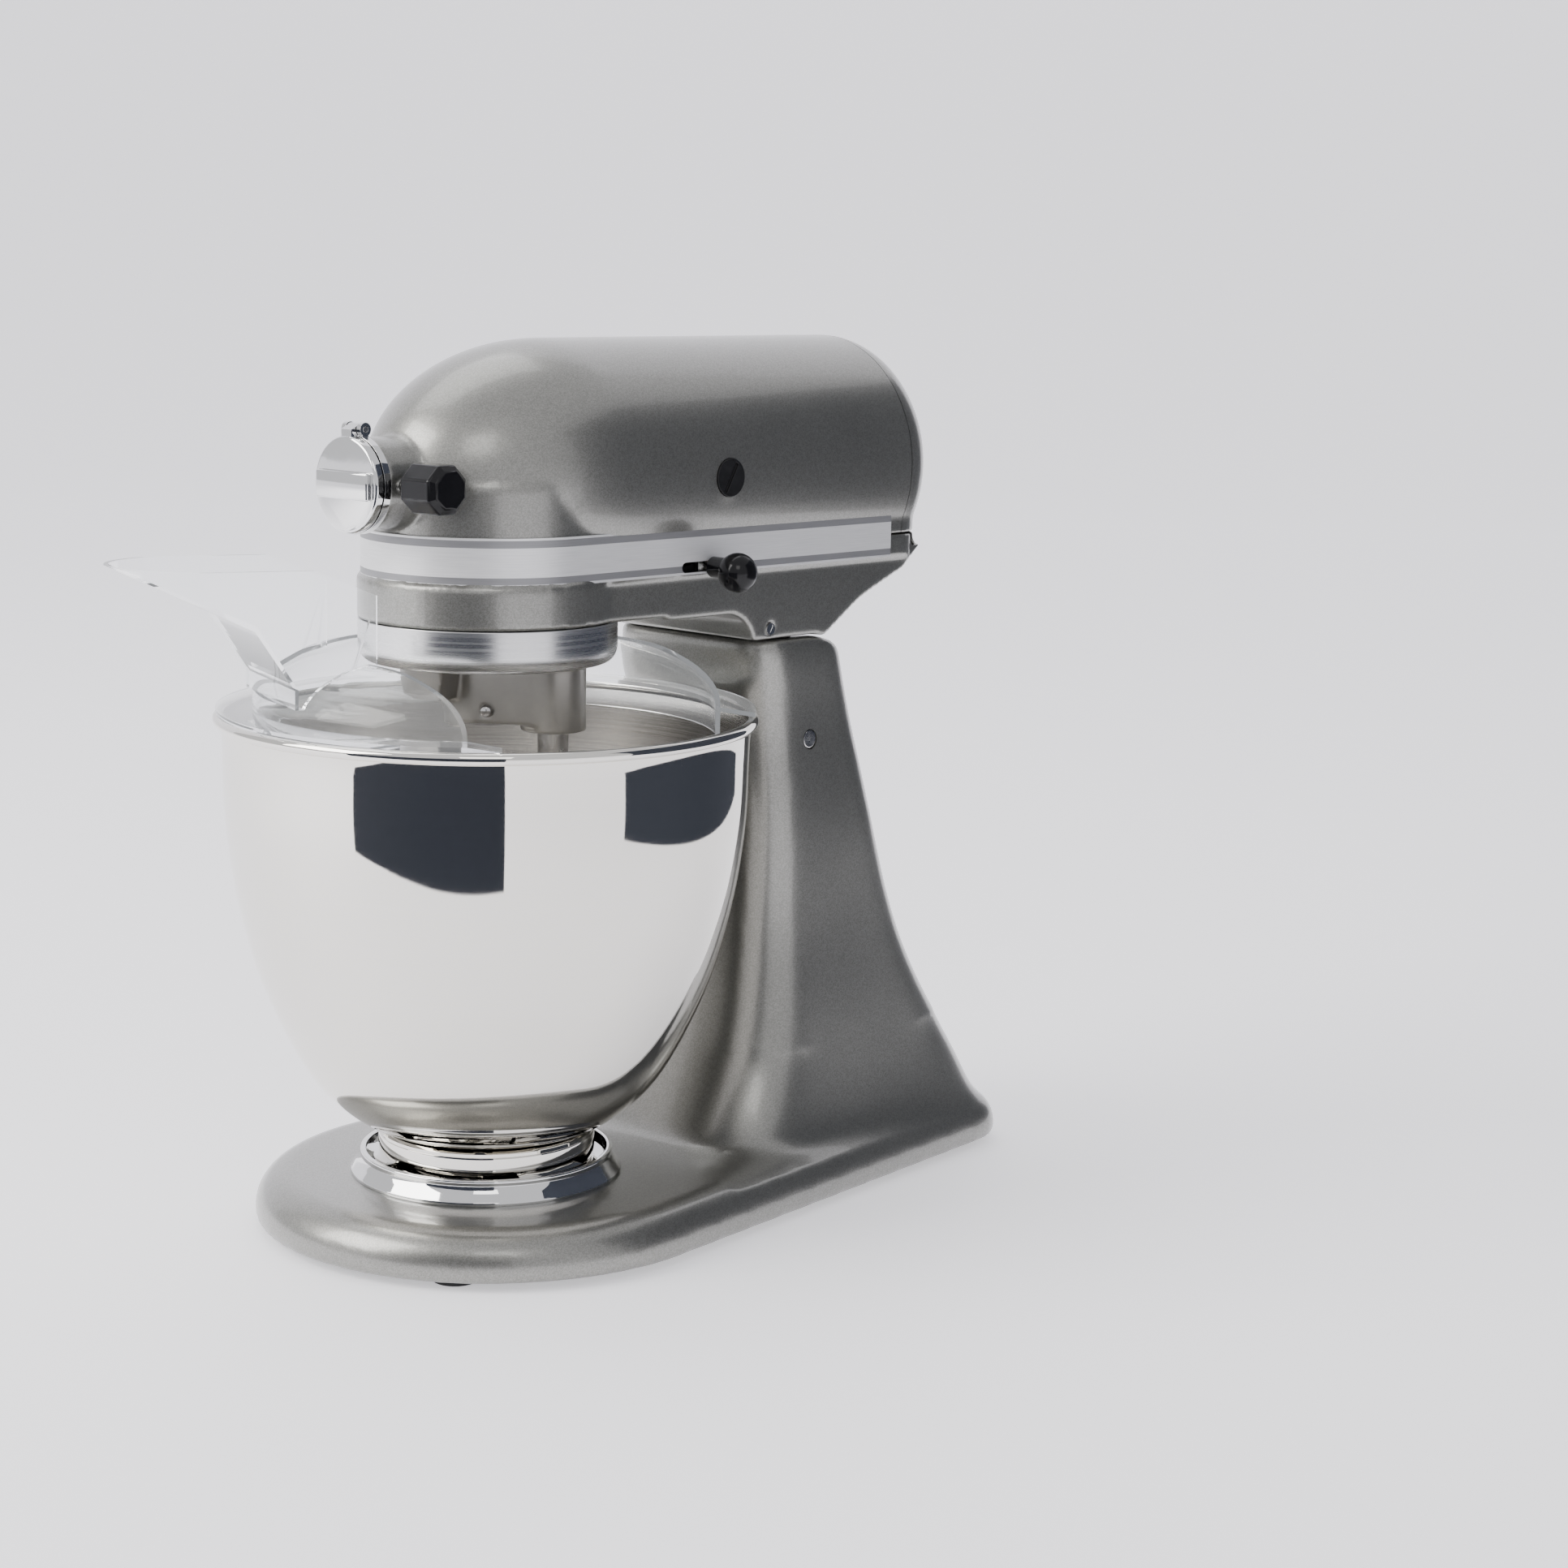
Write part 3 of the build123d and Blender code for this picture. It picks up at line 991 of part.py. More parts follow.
BOARD_X = REAR_BEARING_X + BEARING_L + 0.5
with BuildPart() as speed_plate:
    with BuildSketch(across(BOARD_X, z=AXIS_Z)):
        RectangleRounded(64, 48, 6)
        Circle(8, mode=Mode.SUBTRACT)
    extrude(amount=2)
    with BuildSketch(across(BOARD_X + 2, z=AXIS_Z)):
        with GridLocations(48, 34, 2, 2):
            Circle(2.2)
    extrude(amount=6)
    # bridge over the shaft's end that takes the rear cover's screw
    with BuildSketch(across(BOARD_X + 2, z=AXIS_Z)):
        Rectangle(24, 10)
        Circle(COVER_SCREW_R, mode=Mode.SUBTRACT)
    extrude(amount=4)
save(speed_plate.part, "speed_plate")

with BuildPart() as control_board:
    with BuildSketch(across(BOARD_X + 8, z=AXIS_Z)):
        Rectangle(56, 42)
        with GridLocations(30, 20, 2, 2):
            Circle(1, mode=Mode.SUBTRACT)
        Circle(3, mode=Mode.SUBTRACT)
    extrude(amount=1.6)
    with BuildSketch(across(BOARD_X + 9.6, z=AXIS_Z)):
        with Locations((-14, 10)):
            Rectangle(16, 8)
        with Locations((14, 12)):
            Circle(4)
        with Locations((13, -10)):
            Rectangle(10, 10)
    extrude(amount=7)
save(control_board.part, "control_board")

BRUSH_W, BRUSH_H, BRUSH_L = 7.0, 5.0, 13.0
with BuildPart() as brush_holders:
    for way in (-1, 1):
        with BuildSketch(lateral(COMM_X, way * (COMM_R + 2), AXIS_Z, way)):
            Circle(6.4)
            Rectangle(BRUSH_W, BRUSH_H, mode=Mode.SUBTRACT)
        extrude(amount=HEAD_R - 6 - COMM_R - 2)
save(brush_holders.part, "brush_holders")

with BuildPart() as carbon_brushes:
    for way in (-1, 1):
        with BuildSketch(lateral(COMM_X, way * (COMM_R + SLACK), AXIS_Z, way)):
            Rectangle(BRUSH_W, BRUSH_H)
        extrude(amount=BRUSH_L)
save(carbon_brushes.part, "carbon_brushes")

with BuildPart() as brush_springs:
    for way in (-1, 1):
        with BuildSketch(lateral(COMM_X, way * (COMM_R + SLACK + BRUSH_L), AXIS_Z, way)):
            Circle(2.3)
            Circle(1.5, mode=Mode.SUBTRACT)
        extrude(amount=HEAD_R - 6 - COMM_R - SLACK - BRUSH_L)
save(brush_springs.part, "brush_springs")

with BuildPart() as brush_caps:
    for way in (-1, 1):
        with BuildSketch(lateral(COMM_X, way * (HEAD_R - 6), AXIS_Z, way)):
            Circle(BRUSH_BORE_R)
        extrude(amount=6.6)
        with BuildSketch(lateral(COMM_X, way * (HEAD_R - 0.4), AXIS_Z, way)):
            Rectangle(13, 1.8, rotation=60)
        extrude(amount=2, mode=Mode.SUBTRACT)
save(brush_caps.part, "brush_caps")

# =====================================================================
# Levers on the band
# =====================================================================
BALL_R, BALL_Y = 7.9, 64.0
for label, x, z, way, reach in (("lock", LOCK_X, LOCK_Z, -1, 26.0), ("speed", SPEED_X, SPEED_Z, 1, 66.0)):
    with BuildPart() as lever_knob:
        with Locations((BOWL_X + x, way * BALL_Y, z - 1.6)):
            Sphere(BALL_R)
        with BuildSketch(lateral(x, way * (HEAD_HALF + BAND_T + 1.2), z - 0.4, way)):
            Circle(4.2)
        extrude(amount=8)
        with BuildSketch(lateral(x, way * HEAD_HALF, z, way)):
            Circle(STEM_R)
        extrude(amount=BALL_Y - HEAD_HALF - 6, mode=Mode.SUBTRACT)
    save(lever_knob.part, f"{label}_knob")
    with BuildPart() as lever_link:
        with BuildSketch(lateral(x, way * (HEAD_HALF - 5.6), z, way)):
            Circle(STEM_R)
        extrude(amount=BALL_Y - HEAD_HALF - 6 + 5.6)
        with BuildSketch(lateral(x, way * (HEAD_HALF - 5.4), z, way)):
            Rectangle(6, 4.4)
            Rectangle(reach, 4.4, align=(Align.MIN, Align.CENTER))
        extrude(amount=2)
    save(lever_link.part, f"{label}_link")

# Screw that sets how low the head rests, in the neck
with BuildPart() as height_screw:
    with BuildSketch(lateral(112.5, -ARM_HALF + 4, 236)):
        Circle(2.4)
    extrude(amount=4.4)
    with BuildSketch(lateral(112.5, -ARM_HALF - 0.3, 236)):
        Rectangle(3.6, 0.8, rotation=60)
    extrude(amount=1, mode=Mode.SUBTRACT)
save(height_screw.part, "height_screw")

# Rubber grommet where the mains cord enters
with BuildPart() as cord_inlet:
    with BuildSketch(INLET.offset(-5)):
        Ellipse(6.5, 5)
        Circle(3.2, mode=Mode.SUBTRACT)
    extrude(amount=6.5)
save(cord_inlet.part, "cord_inlet")
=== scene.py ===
import json
import math

import bmesh
import bpy
from mathutils import Matrix, Vector
from mathutils.geometry import interpolate_bezier

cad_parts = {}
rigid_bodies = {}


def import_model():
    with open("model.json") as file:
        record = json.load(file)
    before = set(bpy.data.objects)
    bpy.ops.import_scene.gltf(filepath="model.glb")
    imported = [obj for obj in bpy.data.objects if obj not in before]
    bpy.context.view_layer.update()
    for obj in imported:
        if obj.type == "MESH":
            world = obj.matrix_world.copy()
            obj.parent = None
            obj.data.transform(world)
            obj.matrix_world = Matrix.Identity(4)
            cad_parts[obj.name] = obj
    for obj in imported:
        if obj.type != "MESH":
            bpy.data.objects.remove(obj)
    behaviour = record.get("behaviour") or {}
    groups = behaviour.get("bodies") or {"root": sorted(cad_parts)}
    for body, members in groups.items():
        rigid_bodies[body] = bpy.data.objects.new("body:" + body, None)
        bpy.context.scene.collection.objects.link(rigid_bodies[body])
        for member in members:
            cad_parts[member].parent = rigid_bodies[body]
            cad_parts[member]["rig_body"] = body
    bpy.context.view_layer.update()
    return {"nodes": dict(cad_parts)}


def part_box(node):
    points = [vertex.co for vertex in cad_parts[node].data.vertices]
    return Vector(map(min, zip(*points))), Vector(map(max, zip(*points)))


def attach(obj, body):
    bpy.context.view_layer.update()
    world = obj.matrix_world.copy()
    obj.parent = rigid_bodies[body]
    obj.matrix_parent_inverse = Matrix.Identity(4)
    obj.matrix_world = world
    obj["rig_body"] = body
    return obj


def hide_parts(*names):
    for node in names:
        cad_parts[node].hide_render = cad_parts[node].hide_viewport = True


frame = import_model()
nodes = frame["nodes"]


# ---- Studio: floor, light and camera -----------------------------------------------------------
# A plain pale paper sweep, lit by a wide soft box high on the left, a weak one in front and the
# pale room. Dark flags that only reflections see stand for the studio's unlit side.
scene = bpy.context.scene
world = bpy.data.worlds.new("pale_room")
world.use_nodes = True
world.node_tree.nodes["Background"].inputs["Color"].default_value = (0.86, 0.86, 0.89, 1)
world.node_tree.nodes["Background"].inputs["Strength"].default_value = 0.95
scene.world = world


def finish(name, base, metallic, roughness, **sockets):
    """A new material: its Principled shader has every value that doesn't change over the surface."""
    material = bpy.data.materials.new(name)
    material.use_nodes = True
    shader = material.node_tree.nodes["Principled BSDF"]
    shader.inputs["Base Color"].default_value = (*base, 1)
    shader.inputs["Metallic"].default_value = metallic
    shader.inputs["Roughness"].default_value = roughness
    for socket, value in sockets.items():
        shader.inputs[socket.replace("_", " ")].default_value = value
    return material, material.node_tree, shader


# The paper glows a little, as a sweep lit by its own lamps does.
paper = finish("pale_paper", (0.86, 0.855, 0.885), 0.0, 0.7, Emission_Color=(0.97, 0.96, 1, 1),
               Emission_Strength=0.62)[0]
sweep_width, sweep_front, sweep_depth, sweep_rise, sweep_radius = 14.0, 6.0, 3.2, 5.0, 1.4
sweep_turn = math.radians(-47)
bm = bmesh.new()
near_edge = [bm.verts.new((x, -sweep_front, 0)) for x in (-sweep_width / 2, sweep_width / 2)]
strip = bm.edges.new(near_edge)
run = bmesh.ops.extrude_edge_only(bm, edges=[strip])
far = [v for v in run["geom"] if isinstance(v, bmesh.types.BMVert)]
bmesh.ops.translate(bm, verts=far, vec=(0, sweep_front + sweep_depth, 0))
edge = [e for e in run["geom"] if isinstance(e, bmesh.types.BMEdge)]
bmesh.ops.spin(bm, geom=far + edge, cent=(0, sweep_depth, sweep_radius), axis=(1, 0, 0),
               angle=math.pi / 2, steps=24)
top = sorted(bm.verts, key=lambda v: v.co.z)[-2:]
top_edge = next(e for e in bm.edges if set(e.verts) == set(top))
rise = bmesh.ops.extrude_edge_only(bm, edges=[top_edge])
risen = [v for v in rise["geom"] if isinstance(v, bmesh.types.BMVert)]
bmesh.ops.translate(bm, verts=risen, vec=(0, 0, sweep_rise))
bmesh.ops.rotate(bm, verts=bm.verts, cent=(0, 0, 0), matrix=Matrix.Rotation(sweep_turn, 3, "Z"))
sweep_mesh = bpy.data.meshes.new("floor_sweep")
bm.to_mesh(sweep_mesh)
bm.free()
for face in sweep_mesh.polygons:
    face.use_smooth = True
sweep = bpy.data.objects.new("floor_sweep", sweep_mesh)
sweep_mesh.materials.append(paper)
scene.collection.objects.link(sweep)


light_aim = Vector((0, 0, 0.2))


def soft_box(name, place, size, power, colour=(1, 1, 1)):
    """A rectangular studio light at place, turned towards the mixer."""
    lamp = bpy.data.lights.new(name, "AREA")
    lamp.shape = "RECTANGLE"
    lamp.size, lamp.size_y = size
    lamp.energy = power
    lamp.color = colour
    holder = bpy.data.objects.new(name, lamp)
    holder.location = place
    holder.rotation_euler = (light_aim - Vector(place)).to_track_quat("-Z", "Y").to_euler()
    scene.collection.objects.link(holder)


soft_box("key_light", (-1.9, 0.9, 1.5), (1.6, 1.6), 64, (1, 0.985, 0.96))
soft_box("near_light", (-1.5, -1.6, 1.9), (0.9, 0.9), 7, (1, 0.99, 0.97))
soft_box("top_light", (0.1, 0.9, 2.2), (1.8, 1.2), 14)

view_azimuth, view_elevation, view_roll = math.radians(47.10), math.radians(9.91), math.radians(1.11)
sight = Vector((math.sin(view_azimuth) * math.cos(view_elevation),
                math.cos(view_azimuth) * math.cos(view_elevation), -math.sin(view_elevation)))
bowl_low, bowl_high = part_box("bowl")
bowl_x, bowl_y = (bowl_low.x + bowl_high.x) / 2, (bowl_low.y + bowl_high.y) / 2
nearer = Vector((-sight.x, -sight.y, 0)).normalized()
right = Vector((-nearer.y, nearer.x, 0))
flag_paint = finish("dark_flag", (0.016, 0.02, 0.03), 0.0, 1.0)[0]
# Each flag stands on the floor from start to end, both measured from the bowl's axis as (aside, nearer).
for flag_name, start, end, height in (("flag_main", (-0.48, 0.42), (0.09, 0.42), 0.30),
                                      ("flag_side", (0.66, 0.34), (0.66, -0.75), 0.85)):
    mesh = bpy.data.meshes.new(flag_name)
    low_start, low_end = (Vector((bowl_x, bowl_y, 0)) + right * aside + nearer * near
                          for aside, near in (start, end))
    up = Vector((0, 0, height))
    mesh.from_pydata([low_start, low_end, low_end + up, low_start + up], [], [(0, 1, 2, 3)])
    mesh.materials.append(flag_paint)
    flag = bpy.data.objects.new(flag_name, mesh)
    flag.visible_camera = False
    flag.visible_shadow = False
    flag.visible_diffuse = False
    flag.visible_transmission = False
    scene.collection.objects.link(flag)

camera_data = bpy.data.cameras.new("camera")
camera_data.sensor_width = 36.0
camera_data.lens = 70.55
camera_data.clip_end = 60.0
camera = bpy.data.objects.new("camera", camera_data)
camera.location = (-0.8501, -0.8997, 0.3897)
facing = sight.to_track_quat("-Z", "Y").to_matrix()
camera.rotation_euler = (facing @ Matrix.Rotation(view_roll, 3, "Z")).to_euler()
scene.collection.objects.link(camera)
scene.camera = camera


# ---- Painted castings: base with column, gearcase, motor housing, rear cover -------------------
# Die-cast zinc and aluminium in a warm silver-grey metallic lacquer under a clear coat. The
# flakes are a fraction of a millimetre, and the coat has the faint swell of a sprayed casting.
def new_group(name, takes, gives):
    """An empty shader node group, with its sockets listed as (name, type, default)."""
    tree = bpy.data.node_groups.new(name, "ShaderNodeTree")
    for socket, kind, value in takes:
        made = tree.interface.new_socket(name=socket, in_out="INPUT", socket_type=kind)
        made.default_value = value
    for socket, kind in gives:
        tree.interface.new_socket(name=socket, in_out="OUTPUT", socket_type=kind)
    return tree, tree.nodes.new("NodeGroupInput"), tree.nodes.new("NodeGroupOutput")


def place_group(tree, group, **values):
    """One use of a node group in a material, with its own values."""
    used = tree.nodes.new("ShaderNodeGroup")
    used.node_tree = group
    for socket, value in values.items():
        used.inputs[socket].default_value = value
    return used


def node(tree, kind, **settings):
    """A node with its settings, such as operation="MULTIPLY"."""
    made = tree.nodes.new(kind)
    for key, value in settings.items():
        setattr(made, key, value)
    return made


def mottle_group():
    """Slow and fine variation: a tint for colour, a shift for roughness and a bumped normal."""
    tree, takes, gives = new_group(
        "mottle",
        [("Vector", "NodeSocketVector", (0, 0, 0)), ("Colour", "NodeSocketColor", (0.5, 0.5, 0.5, 1)),
         ("Roughness", "NodeSocketFloat", 0.4), ("Scale", "NodeSocketFloat", 60.0),
         ("Tint", "NodeSocketFloat", 0.06), ("Wander", "NodeSocketFloat", 0.06),
         ("Height", "NodeSocketFloat", 0.00002)],
        [("Colour", "NodeSocketColor"), ("Roughness", "NodeSocketFloat"), ("Normal", "NodeSocketVector")])
    slow = node(tree, "ShaderNodeTexNoise")
    slow.inputs["Detail"].default_value = 5.0
    fine = node(tree, "ShaderNodeTexNoise")
    fine.inputs["Detail"].default_value = 3.0
    faster = node(tree, "ShaderNodeMath", operation="MULTIPLY")
    faster.inputs[1].default_value = 11.0
    tree.links.new(takes.outputs["Scale"], slow.inputs["Scale"])
    tree.links.new(takes.outputs["Scale"], faster.inputs[0])
    tree.links.new(faster.outputs[0], fine.inputs["Scale"])
    for noise in (slow, fine):
        tree.links.new(takes.outputs["Vector"], noise.inputs["Vector"])
    spread = node(tree, "ShaderNodeMapRange")
    spread.inputs["From Min"].default_value = 0.3
    spread.inputs["From Max"].default_value = 0.7
    spread.inputs["To Min"].default_value = -1.0
    tree.links.new(slow.outputs["Fac"], spread.inputs["Value"])
    shade = node(tree, "ShaderNodeMath", operation="MULTIPLY_ADD")
    shade.inputs[2].default_value = 1.0
    tree.links.new(spread.outputs[0], shade.inputs[0])
    tree.links.new(takes.outputs["Tint"], shade.inputs[1])
    tinted = node(tree, "ShaderNodeVectorMath", operation="SCALE")
    tree.links.new(takes.outputs["Colour"], tinted.inputs[0])
    tree.links.new(shade.outputs[0], tinted.inputs["Scale"])
    tree.links.new(tinted.outputs[0], gives.inputs["Colour"])
    dull = node(tree, "ShaderNodeMath", operation="MULTIPLY_ADD")
    tree.links.new(spread.outputs[0], dull.inputs[0])
    tree.links.new(takes.outputs["Wander"], dull.inputs[1])
    tree.links.new(takes.outputs["Roughness"], dull.inputs[2])
    tree.links.new(dull.outputs[0], gives.inputs["Roughness"])
    bump = node(tree, "ShaderNodeBump")
    bump.inputs["Distance"].default_value = 1.0
    raised = node(tree, "ShaderNodeMath", operation="MULTIPLY")
    tree.links.new(fine.outputs["Fac"], raised.inputs[0])
    tree.links.new(takes.outputs["Height"], raised.inputs[1])
    tree.links.new(raised.outputs[0], bump.inputs["Height"])
    tree.links.new(bump.outputs["Normal"], gives.inputs["Normal"])
    return tree


mottle = mottle_group()


def mottled(tree, shader, colour, roughness, scale, tint, wander, height, along=None):
    """The mottle group, wired to a material's shader. along is a stretched or turned vector."""
    used = place_group(tree, mottle, Colour=(*colour, 1), Roughness=roughness, Scale=scale, Tint=tint,
                       Wander=wander, Height=height)
    along = along or node(tree, "ShaderNodeTexCoord").outputs["Object"]
    tree.links.new(along, used.inputs["Vector"])
    tree.links.new(used.outputs["Colour"], shader.inputs["Base Color"])
    tree.links.new(used.outputs["Roughness"], shader.inputs["Roughness"])
    tree.links.new(used.outputs["Normal"], shader.inputs["Normal"])
    return used


paint_colour = (0.27, 0.268, 0.251)
paint_roughness = 0.34
paint, tree, shader = finish("silver_lacquer", paint_colour, 0.85, paint_roughness, Coat_Weight=0.6,
                             Coat_Roughness=0.1)
lacquer = mottled(tree, shader, paint_colour, paint_roughness, 14, 0.025, 0.02, 0.000004)
flakes = node(tree, "ShaderNodeTexVoronoi")
flakes.inputs["Scale"].default_value = 2600
tree.links.new(node(tree, "ShaderNodeTexCoord").outputs["Object"], flakes.inputs["Vector"])
glint = node(tree, "ShaderNodeSeparateColor")
tree.links.new(flakes.outputs["Color"], glint.inputs[0])
brighten = node(tree, "ShaderNodeMapRange")
brighten.inputs["To Min"].default_value = 0.84
brighten.inputs["To Max"].default_value = 1.2
tree.links.new(glint.outputs[0], brighten.inputs["Value"])
flaked = node(tree, "ShaderNodeVectorMath", operation="SCALE")
tree.links.new(lacquer.outputs["Colour"], flaked.inputs[0])
tree.links.new(brighten.outputs[0], flaked.inputs["Scale"])
tree.links.new(flaked.outputs[0], shader.inputs["Base Color"])


def add_piece(name, bm, materials, body, smooth_angle=35.0):
    """A bmesh made into a piece that rides on a body, smooth up to an angle."""
    mesh = bpy.data.meshes.new(name)
    bm.to_mesh(mesh)
    bm.free()
    for face in mesh.polygons:
        face.use_smooth = True
    mesh.set_sharp_from_angle(angle=math.radians(smooth_angle))
    for material in materials:
        mesh.materials.append(material)
    piece = bpy.data.objects.new(name, mesh)
    scene.collection.objects.link(piece)
    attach(piece, body)
    return piece


def merged(*names):
    """The meshes of CAD nodes in one bmesh, their loose triangles joined."""
    bm = bmesh.new()
    for name in names:
        bm.from_mesh(nodes[name].data)
    bmesh.ops.remove_doubles(bm, verts=bm.verts, dist=2e-6)
    for face in bm.faces:
        face.material_index = 0
    return bm


def rod(bm, start, end, radius, segments=48):
    """A closed cylinder from start to end, added to a bmesh."""
    start, end = Vector(start), Vector(end)
    turn = (end - start).to_track_quat("Z", "Y").to_matrix().to_4x4()
    bmesh.ops.create_cone(bm, cap_ends=True, segments=segments, radius1=radius, radius2=radius,
                          depth=(end - start).length,
                          matrix=Matrix.Translation((start + end) / 2) @ turn)


def cast(name, bm, grain, rounds):
    """A mesh with every hard corner rounded as a die casting's is, by remeshing and smoothing."""
    rough = bpy.data.meshes.new(name + "_rough")
    bm.to_mesh(rough)
    bm.free()
    holder = bpy.data.objects.new(name + "_rough", rough)
    scene.collection.objects.link(holder)
    remesh = holder.modifiers.new("remesh", "REMESH")
    remesh.mode = "VOXEL"
    remesh.voxel_size = grain
    ease = holder.modifiers.new("ease", "SMOOTH")
    ease.factor = 0.5
    ease.iterations = rounds
    shaped = holder.evaluated_get(bpy.context.evaluated_depsgraph_get())
    settled = bpy.data.meshes.new_from_object(shaped)
    bpy.data.objects.remove(holder)
    bm = bmesh.new()
    bm.from_mesh(settled)
    return bm


def bore(piece, start, end, radius):
    """Drills a straight round hole from start to end through a finished piece."""
    bm = bmesh.new()
    rod(bm, start, end, radius, segments=64)
    mesh = bpy.data.meshes.new(piece.name + "_drill")
    bm.to_mesh(mesh)
    bm.free()
    drill = bpy.data.objects.new(piece.name + "_drill", mesh)
    scene.collection.objects.link(drill)
    cut = piece.modifiers.new("bore", "BOOLEAN")
    cut.operation = "DIFFERENCE"
    cut.solver = "EXACT"
    cut.object = drill
    drilled = piece.evaluated_get(bpy.context.evaluated_depsgraph_get())
    done = bpy.data.meshes.new_from_object(drilled)
    piece.modifiers.clear()
    piece.data = done
    bpy.data.objects.remove(drill)


# A casting's own holes are filled before it is remeshed, then drilled again with this clearance.
hole_clearance, drill_past = 0.0002, 0.004
head_grain, head_rounds = 0.0013, 5

# Base and column: one casting. Its column's foot flares into the base in a wide fillet.
base_grain, base_rounds, plug_depth, plug_excess = 0.002, 8, 0.012, 1.1
flare_low, flare_high, flare_rounds = 0.019, 0.060, 50
pin_low, pin_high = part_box("hinge_pin")
pin_x, pin_z = (pin_low.x + pin_high.x) / 2, (pin_low.z + pin_high.z) / 2
pin_r = (pin_high.z - pin_low.z) / 2
bm = merged("pedestal")
rod(bm, (pin_x, pin_low.y, pin_z), (pin_x, pin_low.y + plug_depth, pin_z), pin_r * plug_excess)
rod(bm, (pin_x, pin_high.y - plug_depth, pin_z), (pin_x, pin_high.y, pin_z), pin_r * plug_excess)
bm = cast("base_casting", bm, base_grain, base_rounds)
flare = [v for v in bm.verts if flare_low < v.co.z < flare_high and v.co.x > 0.0]
for _ in range(flare_rounds):
    bmesh.ops.smooth_vert(bm, verts=flare, factor=0.5, use_axis_x=True, use_axis_y=True, use_axis_z=True)
base = add_piece("base_casting", bm, [paint], "stand", 60)
bore(base, (pin_x, pin_low.y - drill_past, pin_z), (pin_x, pin_high.y + drill_past, pin_z),
     pin_r + hole_clearance)
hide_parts("pedestal")

# Gearcase: the head's lower casting, with the arm and the tongue that hangs on the hinge pin.
bm = cast("gearcase_casting", merged("gearcase"), head_grain, head_rounds)
gearcase = add_piece("gearcase_casting", bm, [paint], "head", 60)
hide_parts("gearcase")

# Motor housing and rear cover: cast to one outline, then parted at the cover's seam.
cap_depth, cap_sunk, cap_excess, half_seam = 0.0065, 0.0008, 1.05, 0.00015
cap_low, cap_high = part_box("brush_caps")
cap_x, cap_z = (cap_low.x + cap_high.x) / 2, (cap_low.z + cap_high.z) / 2
cap_r = (cap_high.z - cap_low.z) / 2
seam_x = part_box("motor_housing")[1].x
for piece_name, cad_node, way in (("housing_casting", "motor_housing", 1),
                                  ("cover_casting", "rear_cover", -1)):
    bm = merged("motor_housing", "rear_cover")
    for side in (-1, 1):
        outer = cap_high.y if side > 0 else cap_low.y
        rod(bm, (cap_x, outer - side * cap_depth, cap_z), (cap_x, outer - side * cap_sunk, cap_z),
            cap_r * cap_excess)
    bm = cast(piece_name, bm, head_grain, head_rounds)
    parted = bmesh.ops.bisect_plane(bm, geom=bm.verts[:] + bm.edges[:] + bm.faces[:], dist=1e-7,
                                    plane_co=(seam_x - half_seam * way, 0, 0), plane_no=(way, 0, 0),
                                    clear_outer=True)
    rim = [e for e in parted["geom_cut"] if isinstance(e, bmesh.types.BMEdge) and e.is_boundary]
    bmesh.ops.bridge_loops(bm, edges=rim)
    bmesh.ops.recalc_face_normals(bm, faces=bm.faces)
    shell = add_piece(piece_name, bm, [paint], "head", 50)
    if way > 0:
        bore(shell, (cap_x, cap_low.y - drill_past, cap_z), (cap_x, cap_high.y + drill_past, cap_z),
             cap_r + hole_clearance)
    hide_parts(cad_node)


def dressed(name, material, bevel=0.0003, smooth_angle=35.0):
    """A CAD node's shape as a merged piece, smooth on its curves, with small broken edges."""
    bm = merged(name)
    bmesh.ops.dissolve_limit(bm, angle_limit=math.radians(0.2), verts=bm.verts, edges=bm.edges)
    piece = add_piece(name + "_finished", bm, [material], nodes[name]["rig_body"], smooth_angle)
    if bevel:
        broken = piece.modifiers.new("broken_edges", "BEVEL")
        broken.width = bevel
        broken.segments = 2
        broken.limit_method = "ANGLE"
        broken.angle_limit = math.radians(40)
        broken.harden_normals = True
    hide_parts(name)
    return piece


def even(name, colour, metallic, roughness, scale, tint, wander, height, along=None, **sockets):
    """A finish of one colour with the mottle over it. along makes the mottle's vector."""
    material, tree, shader = finish(name, colour, metallic, roughness, **sockets)
    mottled(tree, shader, colour, roughness, scale, tint, wander, height, along and along(tree))
    return material


foot_rubber = even("foot_rubber", (0.03, 0.03, 0.032), 0.0, 0.75, 90, 0.2, 0.08, 0.00003,
                   Specular_IOR_Level=0.3)
dressed("rubber_feet", foot_rubber, 0.0004)

ground_steel = even("ground_steel", (0.62, 0.61, 0.6), 1.0, 0.22, 220, 0.05, 0.08, 0.000004)
dressed("hinge_pin", ground_steel, 0.0007)
dressed("planetary_pin", ground_steel, 0.0)
dressed("beater_pin", ground_steel, 0.0)
dressed("hub_cover_pin", ground_steel, 0.0002)


# ---- Bowl clamp plate --------------------------------------------------------------------------
# A pressed and chromed ring screwed to the base, with tabs that catch the bowl's lugs.
chrome = even("bright_chrome", (0.8, 0.8, 0.8), 1.0, 0.05, 35, 0.015, 0.02, 0.000001)
dressed("bowl_clamp_plate", chrome, 0.0)
plated = even("plated_screw", (0.55, 0.55, 0.54), 1.0, 0.3, 300, 0.08, 0.1, 0.00001)
dressed("clamp_screws", plated, 0.0002)


